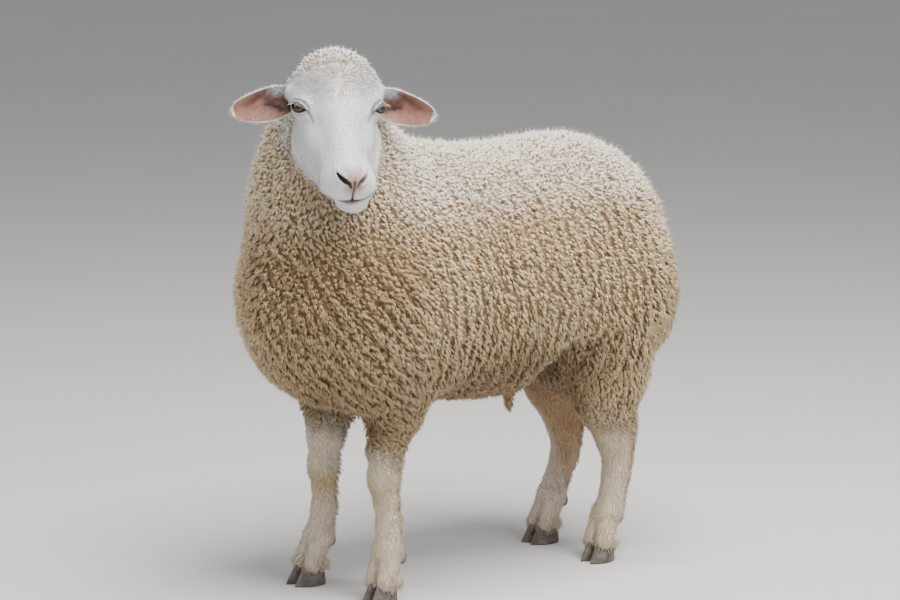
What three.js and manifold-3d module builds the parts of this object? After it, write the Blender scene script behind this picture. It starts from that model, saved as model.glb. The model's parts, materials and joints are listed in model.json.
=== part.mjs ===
// A standing white-faced ram in short fleece, life size, head turned to its left.
// Millimetres. The sheep heads along -Y, +X is its left side, +Z is up and its soles stand on Z = 0.
// The outline is that of the tips of the coat. Flesh is one smooth field of rounded masses, which is
// meshed region by region and parted by thin cuts; ears, hooves and eyes are shaped on their own.
import * as THREE from "three";
import { mergeVertices } from "three/addons/utils/BufferGeometryUtils.js";
import Module from "manifold-3d";

const wasm = await Module();
wasm.setup();

// ---------------------------------------------------------------- driving dimensions
const BACK_HEIGHT = 757; // floor to the top of the fleece over the loin
const BELLY_HEIGHT = 313; // floor to the lowest belly wool
const CHEST_FRONT = -404; // foremost wool of the brisket
const RUMP_END = 405; // rearmost wool of the buttocks
const TRUNK_WIDTH = 430; // across the widest ribs, in fleece
const STANCE = 93; // midline to the middle of a fore foot
const HIND_STANCE = 87; // midline to the middle of a hind foot
const KNEE_HEIGHT = 207;
const HOCK_HEIGHT = 250;
const FETLOCK_HEIGHT = 88;
const CORONET_HEIGHT = 34; // top of the horn at the toe
const HEAD_CENTRE = [117, -340, 859]; // between the eyes
const HEAD_TURN = 65; // degrees that the head is turned to the sheep's left
const HEAD_TILT = 2; // degrees that the head leans to the sheep's left
const NOSE_DROP = 44; // degrees that the nose line falls below level
const MUZZLE_REACH = 163; // eyes to the tip of the nose
const EYE_OFFSET = 61; // midline to the middle of an eyeball
const EYE_RADIUS = 14;
const EAR_LENGTH = 124;
const EAR_WIDTH = 58;
const EAR_THICK = 4;
const CLAW = { length: 62, width: 27, toeBack: 20, heelForward: 3, heelHeight: 20 };
const DEWCLAW = [6.5, 7.5, 10]; // half sizes of the horn at the back of a fetlock
const DIGIT_SPREAD = 15.5; // middle of a foot to the middle of one of its two toes
const TOE_OUT = 7; // degrees that a foot turns out
const CLAW_SPLAY = 4; // degrees between each claw and the foot's own line
const GAP = 0.3; // clear width of a cut between two pieces

const rad = THREE.MathUtils.degToRad;
const lerp = THREE.MathUtils.lerp;

// ---------------------------------------------------------------- colours and finishes
const finish = (color, roughness) => new THREE.MeshStandardMaterial({ color, roughness, metalness: 0 });
const FLEECE = finish(0xd8c7a8, 0.95);
const HAIR = finish(0xe9e5dc, 0.8);
const EAR_SKIN = finish(0xdcb3a2, 0.7);
const HORN = finish(0x6f675e, 0.5);
const EYE = finish(0x8a7440, 0.1);

// ---------------------------------------------------------------- rounded masses as distance fields
const minus = (a, b) => [a[0] - b[0], a[1] - b[1], a[2] - b[2]];
const dot = (a, b) => a[0] * b[0] + a[1] * b[1] + a[2] * b[2];

function ellipsoid(centre, radii) {
  return (p) => {
    const q = minus(p, centre);
    const near = Math.hypot(q[0] / radii[0], q[1] / radii[1], q[2] / radii[2]);
    const steep = Math.hypot(q[0] / radii[0] ** 2, q[1] / radii[1] ** 2, q[2] / radii[2] ** 2);
    return steep < 1e-9 ? -Math.min(...radii) : (near * (near - 1)) / steep;
  };
}

// A straight limb of round section whose radius changes evenly from one end to the other.
function limb(from, fromRadius, to, toRadius) {
  const along = minus(to, from);
  const length2 = dot(along, along);
  return (p) => {
    const q = minus(p, from);
    const t = THREE.MathUtils.clamp(dot(q, along) / length2, 0, 1);
    return Math.hypot(...q.map((v, k) => v - t * along[k])) - lerp(fromRadius, toRadius, t);
  };
}

// Limbs through a row of [x, y, z, radius] stations.
const chain = (stations) =>
  stations.slice(1).map((to, i) => {
    const from = stations[i];
    return limb(from.slice(0, 3), from[3], to.slice(0, 3), to[3]);
  });

const mirrored = ([x, y, z], radii) => [ellipsoid([x, y, z], radii), ellipsoid([-x, y, z], radii)];

function mirroredLimb([x, y, z], radius, [u, v, w], end) {
  return [1, -1].map((side) => limb([side * x, y, z], radius, [side * u, v, w], end));
}

function melt(a, b, reach) {
  const h = Math.max(reach - Math.abs(a - b), 0) / reach;
  return Math.min(a, b) - (h * h * reach) / 4;
}

const blended = (masses, reach) => (p) => masses.reduce((d, mass) => melt(d, mass(p), reach), 1e6);

// ---------------------------------------------------------------- head, in its own frame
// The head's frame has its origin between the eyes, -Y along the face to the nose and +Z out of the forehead.
const headFrame = new THREE.Matrix4().compose(
  new THREE.Vector3(...HEAD_CENTRE),
  new THREE.Quaternion().setFromEuler(new THREE.Euler(rad(NOSE_DROP), rad(HEAD_TILT), rad(HEAD_TURN), "ZYX")),
  new THREE.Vector3(1, 1, 1),
);
const toBody = (p) => new THREE.Vector3(...p).applyMatrix4(headFrame).toArray();
const intoHead = headFrame.clone().invert();
const toHead = (p) => new THREE.Vector3(...p).applyMatrix4(intoHead).toArray();

const EYES = [1, -1].map((side) => ({
  side,
  centre: [side * EYE_OFFSET, -10, 2],
  gaze: [side * 0.72, -0.5, 0.48], // the way that the eye looks
}));

const cranium = [
  ellipsoid([0, 44, -6], [62, 54, 43]), // braincase
  ...mirrored([55, 34, -9], [29, 26, 26]), // roots of the ears
  ellipsoid([0, 44, -50], [50, 45, 46]), // throat
  ellipsoid([0, 47, 17], [59, 51, 37]), // wool of the poll
];
const face = [
  ellipsoid([0, 6, 2], [55, 64, 33]), // forehead
  ...mirrored([EYE_OFFSET - 1, -7, 0], [16, 22, 17]), // orbits
  ...mirrored([38, -16, -42], [27, 66, 42]), // cheeks
  ...mirrored([33, 24, -58], [22, 38, 32]), // jaw angles
  limb([0, -10, 8], 30, [0, -MUZZLE_REACH + 32, -7], 20), // nasal bridge
  ellipsoid([0, -60, -24], [45, 82, 38]), // upper jaw
  // the muzzle rolls a little to the left, more and more towards the chin
  ellipsoid([4, -MUZZLE_REACH + 35, -29], [41, 33, 31]), // muzzle
  ellipsoid([7, -MUZZLE_REACH + 15, -13], [20, 15, 18]), // nose pad
  ellipsoid([30, -MUZZLE_REACH + 22, -39], [22, 20, 22]), // left upper lip
  ellipsoid([-13, -MUZZLE_REACH + 22, -38], [21, 20, 22]), // right upper lip
  limb([40, -14, -64], 25, [35, -MUZZLE_REACH + 48, -65], 20), // left branch of the lower jaw
  limb([-40, -14, -64], 25, [-17, -MUZZLE_REACH + 48, -64], 20), // right branch
  ellipsoid([18, -MUZZLE_REACH + 18, -76], [26, 20, 18]), // chin
];
const HEAD_BLEND = 21;
const skull = blended([...cranium, ...face], HEAD_BLEND);
const head = (p) => skull(toHead(p));
const nape = blended(cranium, HEAD_BLEND); // the head without its face, which is all that the neck meets

// ---------------------------------------------------------------- trunk, neck and legs
const trunkMiddle = (BACK_HEIGHT + BELLY_HEIGHT) / 2;
const trunkDepth = (BACK_HEIGHT - BELLY_HEIGHT) / 2;

const barrel = blended(
  [
    ellipsoid([0, 40, trunkMiddle], [TRUNK_WIDTH / 2, 360, trunkDepth]), // ribs and belly
    ellipsoid([0, -165, BACK_HEIGHT - 158], [140, 200, 176]), // withers
    ...mirrored([98, -215, 515], [112, 142, 182]), // shoulders
    ellipsoid([0, CHEST_FRONT + 152, 478], [158, 152, 143]), // brisket
    ellipsoid([0, RUMP_END - 176, BACK_HEIGHT - 178], [184, 180, 178]), // rump
  ],
  70,
);
const haunches = blended(mirrored([100, RUMP_END - 160, 490], [112, 140, 150]), 30);
// the hollow between the thighs and under the fold of each flank
const groin = blended([ellipsoid([0, 225, 300], [100, 75, 80]), ...mirrored([140, 140, 340], [75, 62, 66])], 30);
const trunk = (p) => -melt(-melt(barrel(p), haunches(p), 40), groin(p), 30);

const neck = blended(
  chain([
    [0, -235, 560, 166],
    [4, -268, 690, 129],
    [20, -287, 799, 101],
  ]),
  60,
);

// Rows of joints, from the trunk down to the fetlock, for a leg whose foot stands at (x, y).
function foreStations(x, y) {
  return [
    [x * 1.0, y + 46, 420, 64],
    [x * 0.84, y + 42, 325, 50],
    [x * 0.8, y + 27, 262, 30],
    [x * 0.79, y + 24, KNEE_HEIGHT, 24],
    [x * 0.82, y + 26, KNEE_HEIGHT - 36, 20],
    [x * 0.86, y + 28, 135, 20],
    [x * 0.93, y + 24, FETLOCK_HEIGHT, 26],
  ];
}

function hindStations(x, y) {
  return [
    [x * 1.2, y - 14, 425, 86],
    [x * 1.08, y + 10, 345, 72],
    [x, y + 16, 290, 54],
    [x, y + 32, HOCK_HEIGHT - 6, 39],
    [x, y + 38, HOCK_HEIGHT - 38, 31],
    [x, y + 43, HOCK_HEIGHT - 66, 25],
    [x, y + 40, 155, 23],
    [x, y + 27, FETLOCK_HEIGHT, 26],
  ];
}

function digits(x, y) {
  const bulbs = [-1, 1].map((side) => ellipsoid([x + side * DIGIT_SPREAD, y + 20, 36], [13, 14, 15])); // heels
  const toes = [-1, 1].map((side) =>
    limb([x * 0.94 + side * 10, y + 20, FETLOCK_HEIGHT - 6], 19.5, [x + side * DIGIT_SPREAD, y + 1, 36], 16.5),
  );
  return [...toes, ...bulbs];
}

const FEET = {
  fore_left: { x: STANCE, y: -239, fore: true },
  fore_right: { x: -STANCE, y: -258, fore: true },
  hind_left: { x: HIND_STANCE, y: 252, fore: false },
  hind_right: { x: -HIND_STANCE, y: 263, fore: false, lean: 16 }, // this hock is held further back
};

function legField({ x, y, fore, lean = 0 }) {
  const leant = (z) => lean * THREE.MathUtils.smoothstep(z, 88, 170);
  const stations = fore ? foreStations(x, y) : hindStations(x, y);
  const masses = chain(stations.map(([u, v, z, radius]) => [u, v + leant(z), z, radius]));
  if (fore) masses.push(ellipsoid([x * 0.79, y + 11, KNEE_HEIGHT + 5], [19, 15, 30])); // kneecap
  else masses.push(limb([x, y + 66 + lean, HOCK_HEIGHT + 22], 13, [x, y + 57 + lean, HOCK_HEIGHT - 42], 16)); // hock point
  return blended([...masses, blended(digits(x, y), 5)], 12);
}
const legs = Object.fromEntries(Object.entries(FEET).map(([name, foot]) => [name, legField(foot)]));

function torso(p) {
  return Object.values(legs).reduce((d, leg) => melt(d, leg(p), 26), melt(trunk(p), neck(p), 70));
}
const flesh = (p) => melt(torso(p), head(p), 14);
const faceless = (p) => melt(torso(p), nape(toHead(p)), 14);

const tailField = blended(
  chain([
    [0, RUMP_END - 70, 640, 52],
    [0, RUMP_END - 14, 560, 44],
    [0, RUMP_END + 2, 450, 36],
    [0, RUMP_END - 2, 345, 28],
    [0, RUMP_END - 4, 312, 20],
  ]),
  20,
);
const sheathField = limb([0, 119, 330], 20, [0, 116, 276], 10);

// ---------------------------------------------------------------- meshing a field
// Evenly spaced grid lines from one end of a window to the other.
function lines(from, to, step) {
  const count = Math.round((to - from) / step);
  return Array.from({ length: count + 1 }, (_, i) => lerp(from, to, i / count));
}
const evenly = (low, high, step) => [0, 1, 2].map((k) => lines(low[k], high[k], step[k]));

// Surface nets: one vertex in each grid cell that the surface crosses, pulled on to the surface itself.
// The grid is three lists of lines; the outermost cells close the mesh where the field runs past them.
function netOf(field, grid) {
  const size = grid.map((list) => list.length);
  const along = (k, t) => {
    const i = Math.min(Math.floor(t), size[k] - 2);
    return lerp(grid[k][i], grid[k][i + 1], t - i);
  };
  const at = (...cell) => cell.map((t, k) => along(k, t));
  const first = grid.map((list) => lerp(list[0], list[1], 0.6));
  const last = grid.map((list) => lerp(list.at(-1), list.at(-2), 0.6));
  const windowed = (p) => Math.max(field(p), ...p.map((v, k) => Math.max(first[k] - v, v - last[k])));
  const cell = Math.min(...grid.map((list) => list[1] - list[0]));
  const index = (i, j, k) => (k * size[1] + j) * size[0] + i;
  const value = new Float64Array(size[0] * size[1] * size[2]);
  for (let k = 0; k < size[2]; k++)
    for (let j = 0; j < size[1]; j++)
      for (let i = 0; i < size[0]; i++) value[index(i, j, k)] = windowed(at(i, j, k));

  const vertexOf = new Map();
  const positions = [];
  const corners = [0, 1, 2, 3, 4, 5, 6, 7].map((c) => [c & 1, (c >> 1) & 1, c >> 2]);
  for (let k = 0; k < size[2] - 1; k++)
    for (let j = 0; j < size[1] - 1; j++)
      for (let i = 0; i < size[0] - 1; i++) {
        const crossings = [];
        corners.forEach((a, n) => {
          for (const axis of [0, 1, 2]) {
            if (a[axis]) continue;
            const b = corners[n | (1 << axis)];
            const da = value[index(i + a[0], j + a[1], k + a[2])];
            const db = value[index(i + b[0], j + b[1], k + b[2])];
            if (da < 0 === db < 0) continue;
            const t = da / (da - db);
            crossings.push(at(i + lerp(a[0], b[0], t), j + lerp(a[1], b[1], t), k + lerp(a[2], b[2], t)));
          }
        });
        if (!crossings.length) continue;
        const mean = [0, 1, 2].map((m) => crossings.reduce((s, c) => s + c[m], 0) / crossings.length);
        vertexOf.set(index(i, j, k), positions.length / 3);
        positions.push(...pulled(windowed, mean, cell));
      }

  const triangles = [];
  const corner = (n) => positions.slice(3 * n, 3 * n + 3);
  for (let k = 0; k < size[2] - 1; k++)
    for (let j = 0; j < size[1] - 1; j++)
      for (let i = 0; i < size[0] - 1; i++)
        for (const axis of [0, 1, 2]) {
          const next = [i, j, k];
          const [b, c] = [(axis + 1) % 3, (axis + 2) % 3];
          if (!next[b] || !next[c]) continue;
          next[axis] += 1;
          const inside = value[index(i, j, k)] < 0;
          if (inside === value[index(...next)] < 0) continue;
          const quad = [
            [-1, -1],
            [0, -1],
            [0, 0],
            [-1, 0],
          ].map(([u, v]) => {
            const beside = [i, j, k];
            beside[b] += u;
            beside[c] += v;
            return vertexOf.get(index(...beside));
          });
          if (!inside) quad.reverse();
          const [p, q, r, s] = quad.map(corner);
          const even = Math.hypot(...minus(p, r)) <= Math.hypot(...minus(q, s));
          const order = even ? [0, 1, 2, 0, 2, 3] : [0, 1, 3, 1, 2, 3];
          triangles.push(...order.map((n) => quad[n]));
        }
  const geometry = new THREE.BufferGeometry();
  geometry.setAttribute("position", new THREE.Float32BufferAttribute(positions, 3));
  geometry.setIndex(triangles);
  return geometry;
}

// Moves a point on to the surface by Newton's method, by at most half a cell a step.
function pulled(field, start, cell) {
  const nudge = 0.5;
  let p = start;
  for (let turn = 0; turn < 4; turn++) {
    const d = field(p);
    const slope = [0, 1, 2].map((k) => {
      const [a, b] = [p.slice(), p.slice()];
      a[k] += nudge;
      b[k] -= nudge;
      return (field(a) - field(b)) / (2 * nudge);
    });
    const steep = Math.max(dot(slope, slope), 0.2);
    const move = THREE.MathUtils.clamp(d / steep, -cell / 2, cell / 2);
    p = p.map((v, k) => v - move * slope[k]);
  }
  return p;
}

// ---------------------------------------------------------------- solids
function solidOf(geometry) {
  const bare = geometry.index ? geometry.toNonIndexed() : geometry.clone();
  for (const name of Object.keys(bare.attributes)) if (name !== "position") bare.deleteAttribute(name);
  const merged = mergeVertices(bare, 1e-3);
  return new wasm.Manifold(
    new wasm.Mesh({
      numProp: 3,
      vertProperties: merged.attributes.position.array,
      triVerts: Uint32Array.from(merged.index.array),
    }),
  );
}

function geometryOf(solid) {
  const mesh = solid.getMesh();
  const positions = [];
  for (let v = 0; v < mesh.numVert; v++) {
    positions.push(...mesh.vertProperties.subarray(v * mesh.numProp, v * mesh.numProp + 3));
  }
  const geometry = new THREE.BufferGeometry();
  geometry.setAttribute("position", new THREE.Float32BufferAttribute(positions, 3));
  geometry.setIndex(Array.from(mesh.triVerts));
  geometry.computeVertexNormals();
  return geometry;
}

const largest = (solid) => solid.decompose().sort((a, b) => b.volume() - a.volume())[0];
const lowest = (solid) => solid.decompose().sort((a, b) => a.boundingBox().min[2] - b.boundingBox().min[2])[0];

// Everything on the far side of a plane, as a great box that stops short of the plane by the clearance.
function beyond({ point, normal }, clearance) {
  const reach = 2400;
  const n = new THREE.Vector3(...normal).normalize();
  const box = new THREE.BoxGeometry(reach, reach, reach);
  box.translate(0, 0, reach / 2 + clearance);
  box.applyQuaternion(new THREE.Quaternion().setFromUnitVectors(new THREE.Vector3(0, 0, 1), n));
  box.translate(...point);
  return solidOf(box);
}

// The block of space beyond all of some planes. A piece is cut out of the body by taking what lies
// inside its block, and its neighbour loses the same block grown by the gap.
function block(planes, clearance) {
  return planes.map((plane) => beyond(plane, clearance)).reduce((all, part) => all.intersect(part));
}
const within = (solid, planes) => solid.intersect(block(planes, GAP / 2));
const without = (solid, planes) => solid.subtract(block(planes, -GAP / 2));

function named(name, geometry, material) {
  const mesh = new THREE.Mesh(geometry, material);
  mesh.name = name;
  return mesh;
}

// ---------------------------------------------------------------- cuts
const alongHead = (normal) => new THREE.Vector3(...normal).transformDirection(headFrame).toArray();
const ABOVE_CHEST = [{ point: [0, -282, 642], normal: [0, -0.68, 0.73] }]; // withers to the front of the chest
const HEAD_BLOCK = [
  { point: toBody([0, 66, 0]), normal: alongHead([0, -1, 0.1]) }, // behind the poll
  { point: toBody([0, 20, -94]), normal: alongHead([0, 0.06, 1]) }, // under the jaw
];

function legBlock({ x, y, fore }) {
  const side = Math.sign(x);
  const inner = { point: [side * 10, 0, 0], normal: [side, 0, 0] };
  if (fore) {
    const slope = { point: [side * 30, y + 30, 318], normal: [side * 0.41, 0, -0.91] };
    return [inner, slope, { point: [0, -100, 0], normal: [0, -1, 0] }];
  }
  const slope = { point: [side * 25, y, 385], normal: [side * 0.36, 0.3, -0.88] };
  return [inner, slope, { point: [0, 135, 0], normal: [0, 1, 0] }];
}

function shankBlock({ x, y, fore }) {
  if (fore) return [{ point: [x, y + 12, KNEE_HEIGHT + 52], normal: [0, 0, -1] }];
  return [{ point: [x, y + 56, HOCK_HEIGHT + 36], normal: [0, 0.2, -0.98] }];
}

// ---------------------------------------------------------------- hooves
// One claw: a flat sole, a pointed toe that slopes back, and a coronet that falls to the heel.
function clawGeometry(side, grow) {
  const around = 12;
  const levels = [0, 0.5, 1];
  const ring = levels.map((level) => {
    const toe = -CLAW.length * 0.53 + CLAW.toeBack * level - grow;
    const heel = CLAW.length * 0.47 - CLAW.heelForward * level + grow;
    const half = CLAW.width / 2 - 1.2 * level + grow;
    return Array.from({ length: around }, (_, i) => {
      const turn = (2 * Math.PI * i) / around;
      const ahead = -Math.cos(turn);
      const across = Math.sin(turn);
      const y = lerp(toe, heel, (ahead + 1) / 2);
      const taper = ahead < 0 ? 1 - 0.42 * ahead * ahead : 1 - 0.1 * ahead * ahead;
      const lean = -side * 5 * Math.max(0, -ahead) ** 1.5; // the toe curves in towards its twin
      const z = level * lerp(CORONET_HEIGHT, CLAW.heelHeight, (ahead + 1) / 2) + (level ? grow : -grow);
      return [across * half * taper + lean, y, z];
    });
  });
  const positions = [...ring.flat(2)];
  const middle = (row) => [0, 1, 2].map((k) => row.reduce((s, p) => s + p[k], 0) / around);
  positions.push(...middle(ring[0]), ...middle(ring[levels.length - 1]));
  const [base, crown] = [levels.length * around, levels.length * around + 1];
  const faces = [];
  for (let i = 0; i < around; i++) {
    const j = (i + 1) % around;
    for (let row = 0; row + 1 < levels.length; row++) {
      const [a, b, c, d] = [row * around + i, row * around + j, (row + 1) * around + j, (row + 1) * around + i];
      faces.push(a, b, c, a, c, d);
    }
    const top = (levels.length - 1) * around;
    faces.push(base, j, i, crown, top + i, top + j);
  }
  const geometry = new THREE.BufferGeometry();
  geometry.setAttribute("position", new THREE.Float32BufferAttribute(positions, 3));
  geometry.setIndex(faces);
  return geometry;
}

function clawPlace({ x, y }, side) {
  const out = rad(Math.sign(x) * TOE_OUT + side * CLAW_SPLAY);
  return new THREE.Matrix4()
    .makeRotationZ(out)
    .setPosition(x + side * DIGIT_SPREAD, y - 1, 0);
}

function dewclawGeometry({ x, y }, side, grow) {
  const ball = new THREE.SphereGeometry(1, 7, 4);
  ball.rotateX(Math.PI / 2);
  ball.scale(...DEWCLAW.map((r) => r + grow));
  ball.rotateX(rad(-25));
  return ball.translate(x * 0.96 + side * 13, y + 41, FETLOCK_HEIGHT - 15);
}

// ---------------------------------------------------------------- ears
// A cupped leaf: its section is a crescent, deep and narrow at the root and shallow towards the tip.
function earGeometry(side) {
  const rows = 8;
  const across = 7;
  const positions = [];
  for (let r = 0; r <= rows; r++) {
    const s = r / rows;
    const chord = EAR_WIDTH * (0.5 + 0.5 * Math.sin(Math.PI * Math.min(s / 0.42, 1) - Math.PI / 2));
    const full = s < 0.42 ? lerp(30, EAR_WIDTH, chord / EAR_WIDTH) : EAR_WIDTH;
    const taper = s > 0.42 ? Math.sqrt(Math.max(1 - ((s - 0.42) / 0.585) ** 2, 0)) : 1;
    const width = Math.max(full * taper, 6);
    const cup = lerp(17, 3, Math.min(s / 0.8, 1));
    const bow = -6 * Math.sin(Math.PI * s); // the blade sags a little along its length
    const loop = [];
    for (let i = 0; i < across; i++) {
      const t = (2 * i) / (across - 1) - 1;
      loop.push([(width / 2) * t, -cup * (1 - t * t) - (EAR_THICK / 2) * Math.sqrt(1.02 - t * t)]);
    }
    for (let i = across - 1; i >= 0; i--) {
      const t = (2 * i) / (across - 1) - 1;
      loop.push([(width / 2) * t, -cup * (1 - t * t) + (EAR_THICK / 2) * Math.sqrt(1.02 - t * t)]);
    }
    for (const [w, d] of loop) positions.push(side * s * EAR_LENGTH, w + bow * 0.6, d + bow);
  }
  const count = 2 * across;
  const faces = [];
  for (let r = 0; r < rows; r++)
    for (let i = 0; i < count; i++) {
      const j = (i + 1) % count;
      const [a, b, c, d] = [r * count + i, r * count + j, (r + 1) * count + j, (r + 1) * count + i];
      faces.push(a, b, c, a, c, d);
    }
  for (const row of [0, rows]) {
    const first = row * count;
    for (let i = 0; i + 1 < across; i++) {
      const [a, b, c, d] = [first + i, first + i + 1, first + count - 2 - i, first + count - 1 - i];
      faces.push(...(row ? [a, b, c, a, c, d] : [a, c, b, a, d, c]));
    }
  }
  if (side < 0) for (let i = 0; i < faces.length; i += 3) [faces[i], faces[i + 1]] = [faces[i + 1], faces[i]];
  const geometry = new THREE.BufferGeometry();
  geometry.setAttribute("position", new THREE.Float32BufferAttribute(positions, 3));
  geometry.setIndex(faces);
  return geometry;
}

// The ear stands out sideways, droops a little and faces forwards. The left one hangs lower, the right
// one is laid further back.
function earPlace(side) {
  const [laidBack, droop] = side > 0 ? [3, 20] : [14, 8];
  const turn = new THREE.Euler(rad(42), rad(side * laidBack), rad(side * -droop), "ZYX");
  return new THREE.Matrix4().makeRotationFromEuler(turn).setPosition(side * 50, 33, -13);
}

// ---------------------------------------------------------------- head group
// The frame of an eye has +Z along its gaze and +Y towards the brow.
function eyeFrame(centre, gaze) {
  const out = new THREE.Vector3(...gaze).normalize();
  const across = new THREE.Vector3(0, 0.8, 0.6).cross(out).normalize();
  const up = out.clone().cross(across);
  return new THREE.Matrix4().makeBasis(across, up, out).setPosition(...centre);
}

const HEAD_GRID = evenly([-112, -184, -150], [112, 130, 106], [16, 17, 16]);

function headGroup() {
  const inHead = (field) => (p) => field(toBody(p));
  const netInHead = (field) => solidOf(netOf(inHead(field), HEAD_GRID).applyMatrix4(headFrame));
  const grown = netInHead((p) => flesh(p) - 2);
  let solid = within(netInHead(flesh), HEAD_BLOCK);
  const group = new THREE.Group();
  for (const { side, centre, gaze } of EYES) {
    const place = (geometry) => geometry.applyMatrix4(eyeFrame(centre, gaze)).applyMatrix4(headFrame);
    const ball = new THREE.SphereGeometry(EYE_RADIUS, 12, 8);
    const socket = new THREE.SphereGeometry(EYE_RADIUS + 1, 12, 8);
    const opening = new THREE.SphereGeometry(1, 15, 9).scale(12.5, 8.5, 16).translate(0, 0, 12);
    for (const hole of [place(socket), place(opening)]) solid = solid.subtract(solidOf(hole));
    group.add(named(side > 0 ? "eye_left" : "eye_right", place(ball), EYE));
  }
  group.add(named("head", geometryOf(largest(solid)), HAIR));
  for (const side of [1, -1]) {
    const blade = earGeometry(side).applyMatrix4(earPlace(side)).applyMatrix4(headFrame);
    const ear = solidOf(blade).subtract(grown);
    group.add(named(side > 0 ? "ear_left" : "ear_right", geometryOf(largest(ear)), EAR_SKIN));
  }
  return group;
}

// ---------------------------------------------------------------- trunk, neck and tail
const TRUNK_GRID = evenly([-264, -462, 242], [264, 494, 814], [48, 56, 48]);
const NECK_GRID = evenly([-231, -470, 460], [231, -62, 1000], [38, 38, 38]);
const TAIL_GRID = evenly([-77, 270, 270], [77, 500, 720], [25, 25, 41]);
const SHEATH_GRID = evenly([-32, 78, 246], [32, 158, 366], [9, 9, 13]);

function trunkGroup() {
  const group = new THREE.Group();
  let solid = without(solidOf(netOf(flesh, TRUNK_GRID)), ABOVE_CHEST);
  for (const foot of Object.values(FEET)) solid = without(solid, legBlock(foot));
  group.add(named("trunk", geometryOf(largest(solid)), FLEECE));

  const neckSolid = without(within(solidOf(netOf(faceless, NECK_GRID)), ABOVE_CHEST), HEAD_BLOCK);
  group.add(named("neck", geometryOf(largest(neckSolid)), FLEECE));

  const body = solidOf(netOf((p) => flesh(p) - 2, TRUNK_GRID));
  const tail = solidOf(netOf(tailField, TAIL_GRID)).subtract(body);
  group.add(named("tail", geometryOf(largest(tail)), FLEECE));
  const sheath = solidOf(netOf(sheathField, SHEATH_GRID)).subtract(body);
  group.add(named("sheath", geometryOf(lowest(sheath)), FLEECE));
  return group;
}

// ---------------------------------------------------------------- legs
function legGroup(name, foot) {
  const { x, y, fore } = foot;
  const [kind, sideName] = name.split("_");
  const leg = kind + "leg_" + sideName;
  const group = new THREE.Group();
  const side = Math.sign(x);

  const across = [side * -14, side * 272].sort((a, b) => a - b);
  const lengthways = fore ? [y - 130, -40] : [10, y + 260];
  const step = fore ? [29, 29, 32] : [39, 39, 40];
  const thick = evenly([across[0], lengthways[0], 200], [across[1], lengthways[1], fore ? 460 : 560], step);
  const upper = within(solidOf(netOf(flesh, thick)), legBlock(foot));
  group.add(named(leg + "_upper", geometryOf(largest(without(upper, shankBlock(foot)))), FLEECE));

  const heights = [...lines(10, 112, 17), ...lines(112, 360, 31).slice(1)]; // closer together over the foot
  const slender = [lines(x - 70, x + 70, 16.5), lines(y - 64, y + 146, 17), heights];
  let lower = within(solidOf(netOf(flesh, slender)), shankBlock(foot));
  for (const inner of [-1, 1]) {
    const place = clawPlace(foot, inner);
    lower = lower.subtract(solidOf(clawGeometry(inner, GAP).applyMatrix4(place)));
    lower = lower.subtract(solidOf(dewclawGeometry(foot, inner, GAP)));
    const which = inner === side ? "outer" : "inner";
    const claw = named(`${leg}_claw_${which}`, clawGeometry(inner, 0), HORN);
    claw.applyMatrix4(place);
    group.add(claw, named(`${leg}_dewclaw_${which}`, dewclawGeometry(foot, inner, 0), HORN));
  }
  group.add(named(leg + "_lower", geometryOf(largest(lower)), HAIR));
  return group;
}

// ---------------------------------------------------------------- the whole sheep
const body = new THREE.Group();
body.add(headGroup(), trunkGroup());
for (const [name, foot] of Object.entries(FEET)) body.add(legGroup(name, foot));

// The origin is on the floor under the middle of the sheep's bounding box.
const sheep = new THREE.Group();
sheep.add(body);
const bounds = new THREE.Box3().setFromObject(sheep, true);
body.position.set(-(bounds.min.x + bounds.max.x) / 2, -(bounds.min.y + bounds.max.y) / 2, 0);

export default sheep;
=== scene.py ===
# The looks of a standing white-faced ram in short curly fleece. Metres in Blender, millimetres in the
# masses below. The sheep heads along -Y, +X is its left side and +Z is up.
import sys

import json

import bmesh
import bpy
import numpy as np
import openvdb as vdb
from mathutils import Matrix, Vector

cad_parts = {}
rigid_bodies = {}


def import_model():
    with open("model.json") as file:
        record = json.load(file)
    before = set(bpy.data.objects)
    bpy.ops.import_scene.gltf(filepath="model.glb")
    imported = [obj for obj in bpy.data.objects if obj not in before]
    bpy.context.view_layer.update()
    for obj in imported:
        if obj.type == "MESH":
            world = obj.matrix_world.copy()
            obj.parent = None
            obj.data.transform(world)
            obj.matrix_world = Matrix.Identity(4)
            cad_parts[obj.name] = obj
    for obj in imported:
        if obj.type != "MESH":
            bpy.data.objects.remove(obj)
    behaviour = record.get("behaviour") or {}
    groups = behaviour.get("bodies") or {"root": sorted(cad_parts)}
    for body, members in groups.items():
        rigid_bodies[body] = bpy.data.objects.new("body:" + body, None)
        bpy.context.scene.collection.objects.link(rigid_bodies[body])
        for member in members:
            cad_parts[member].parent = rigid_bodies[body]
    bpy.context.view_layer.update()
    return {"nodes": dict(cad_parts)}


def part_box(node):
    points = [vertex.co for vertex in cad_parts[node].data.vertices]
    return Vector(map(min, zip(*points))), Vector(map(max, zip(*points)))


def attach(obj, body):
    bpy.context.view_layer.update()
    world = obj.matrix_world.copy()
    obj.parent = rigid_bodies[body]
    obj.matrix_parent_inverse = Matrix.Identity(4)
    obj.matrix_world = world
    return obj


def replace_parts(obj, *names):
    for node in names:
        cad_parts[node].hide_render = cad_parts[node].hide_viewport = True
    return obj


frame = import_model()

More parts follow.
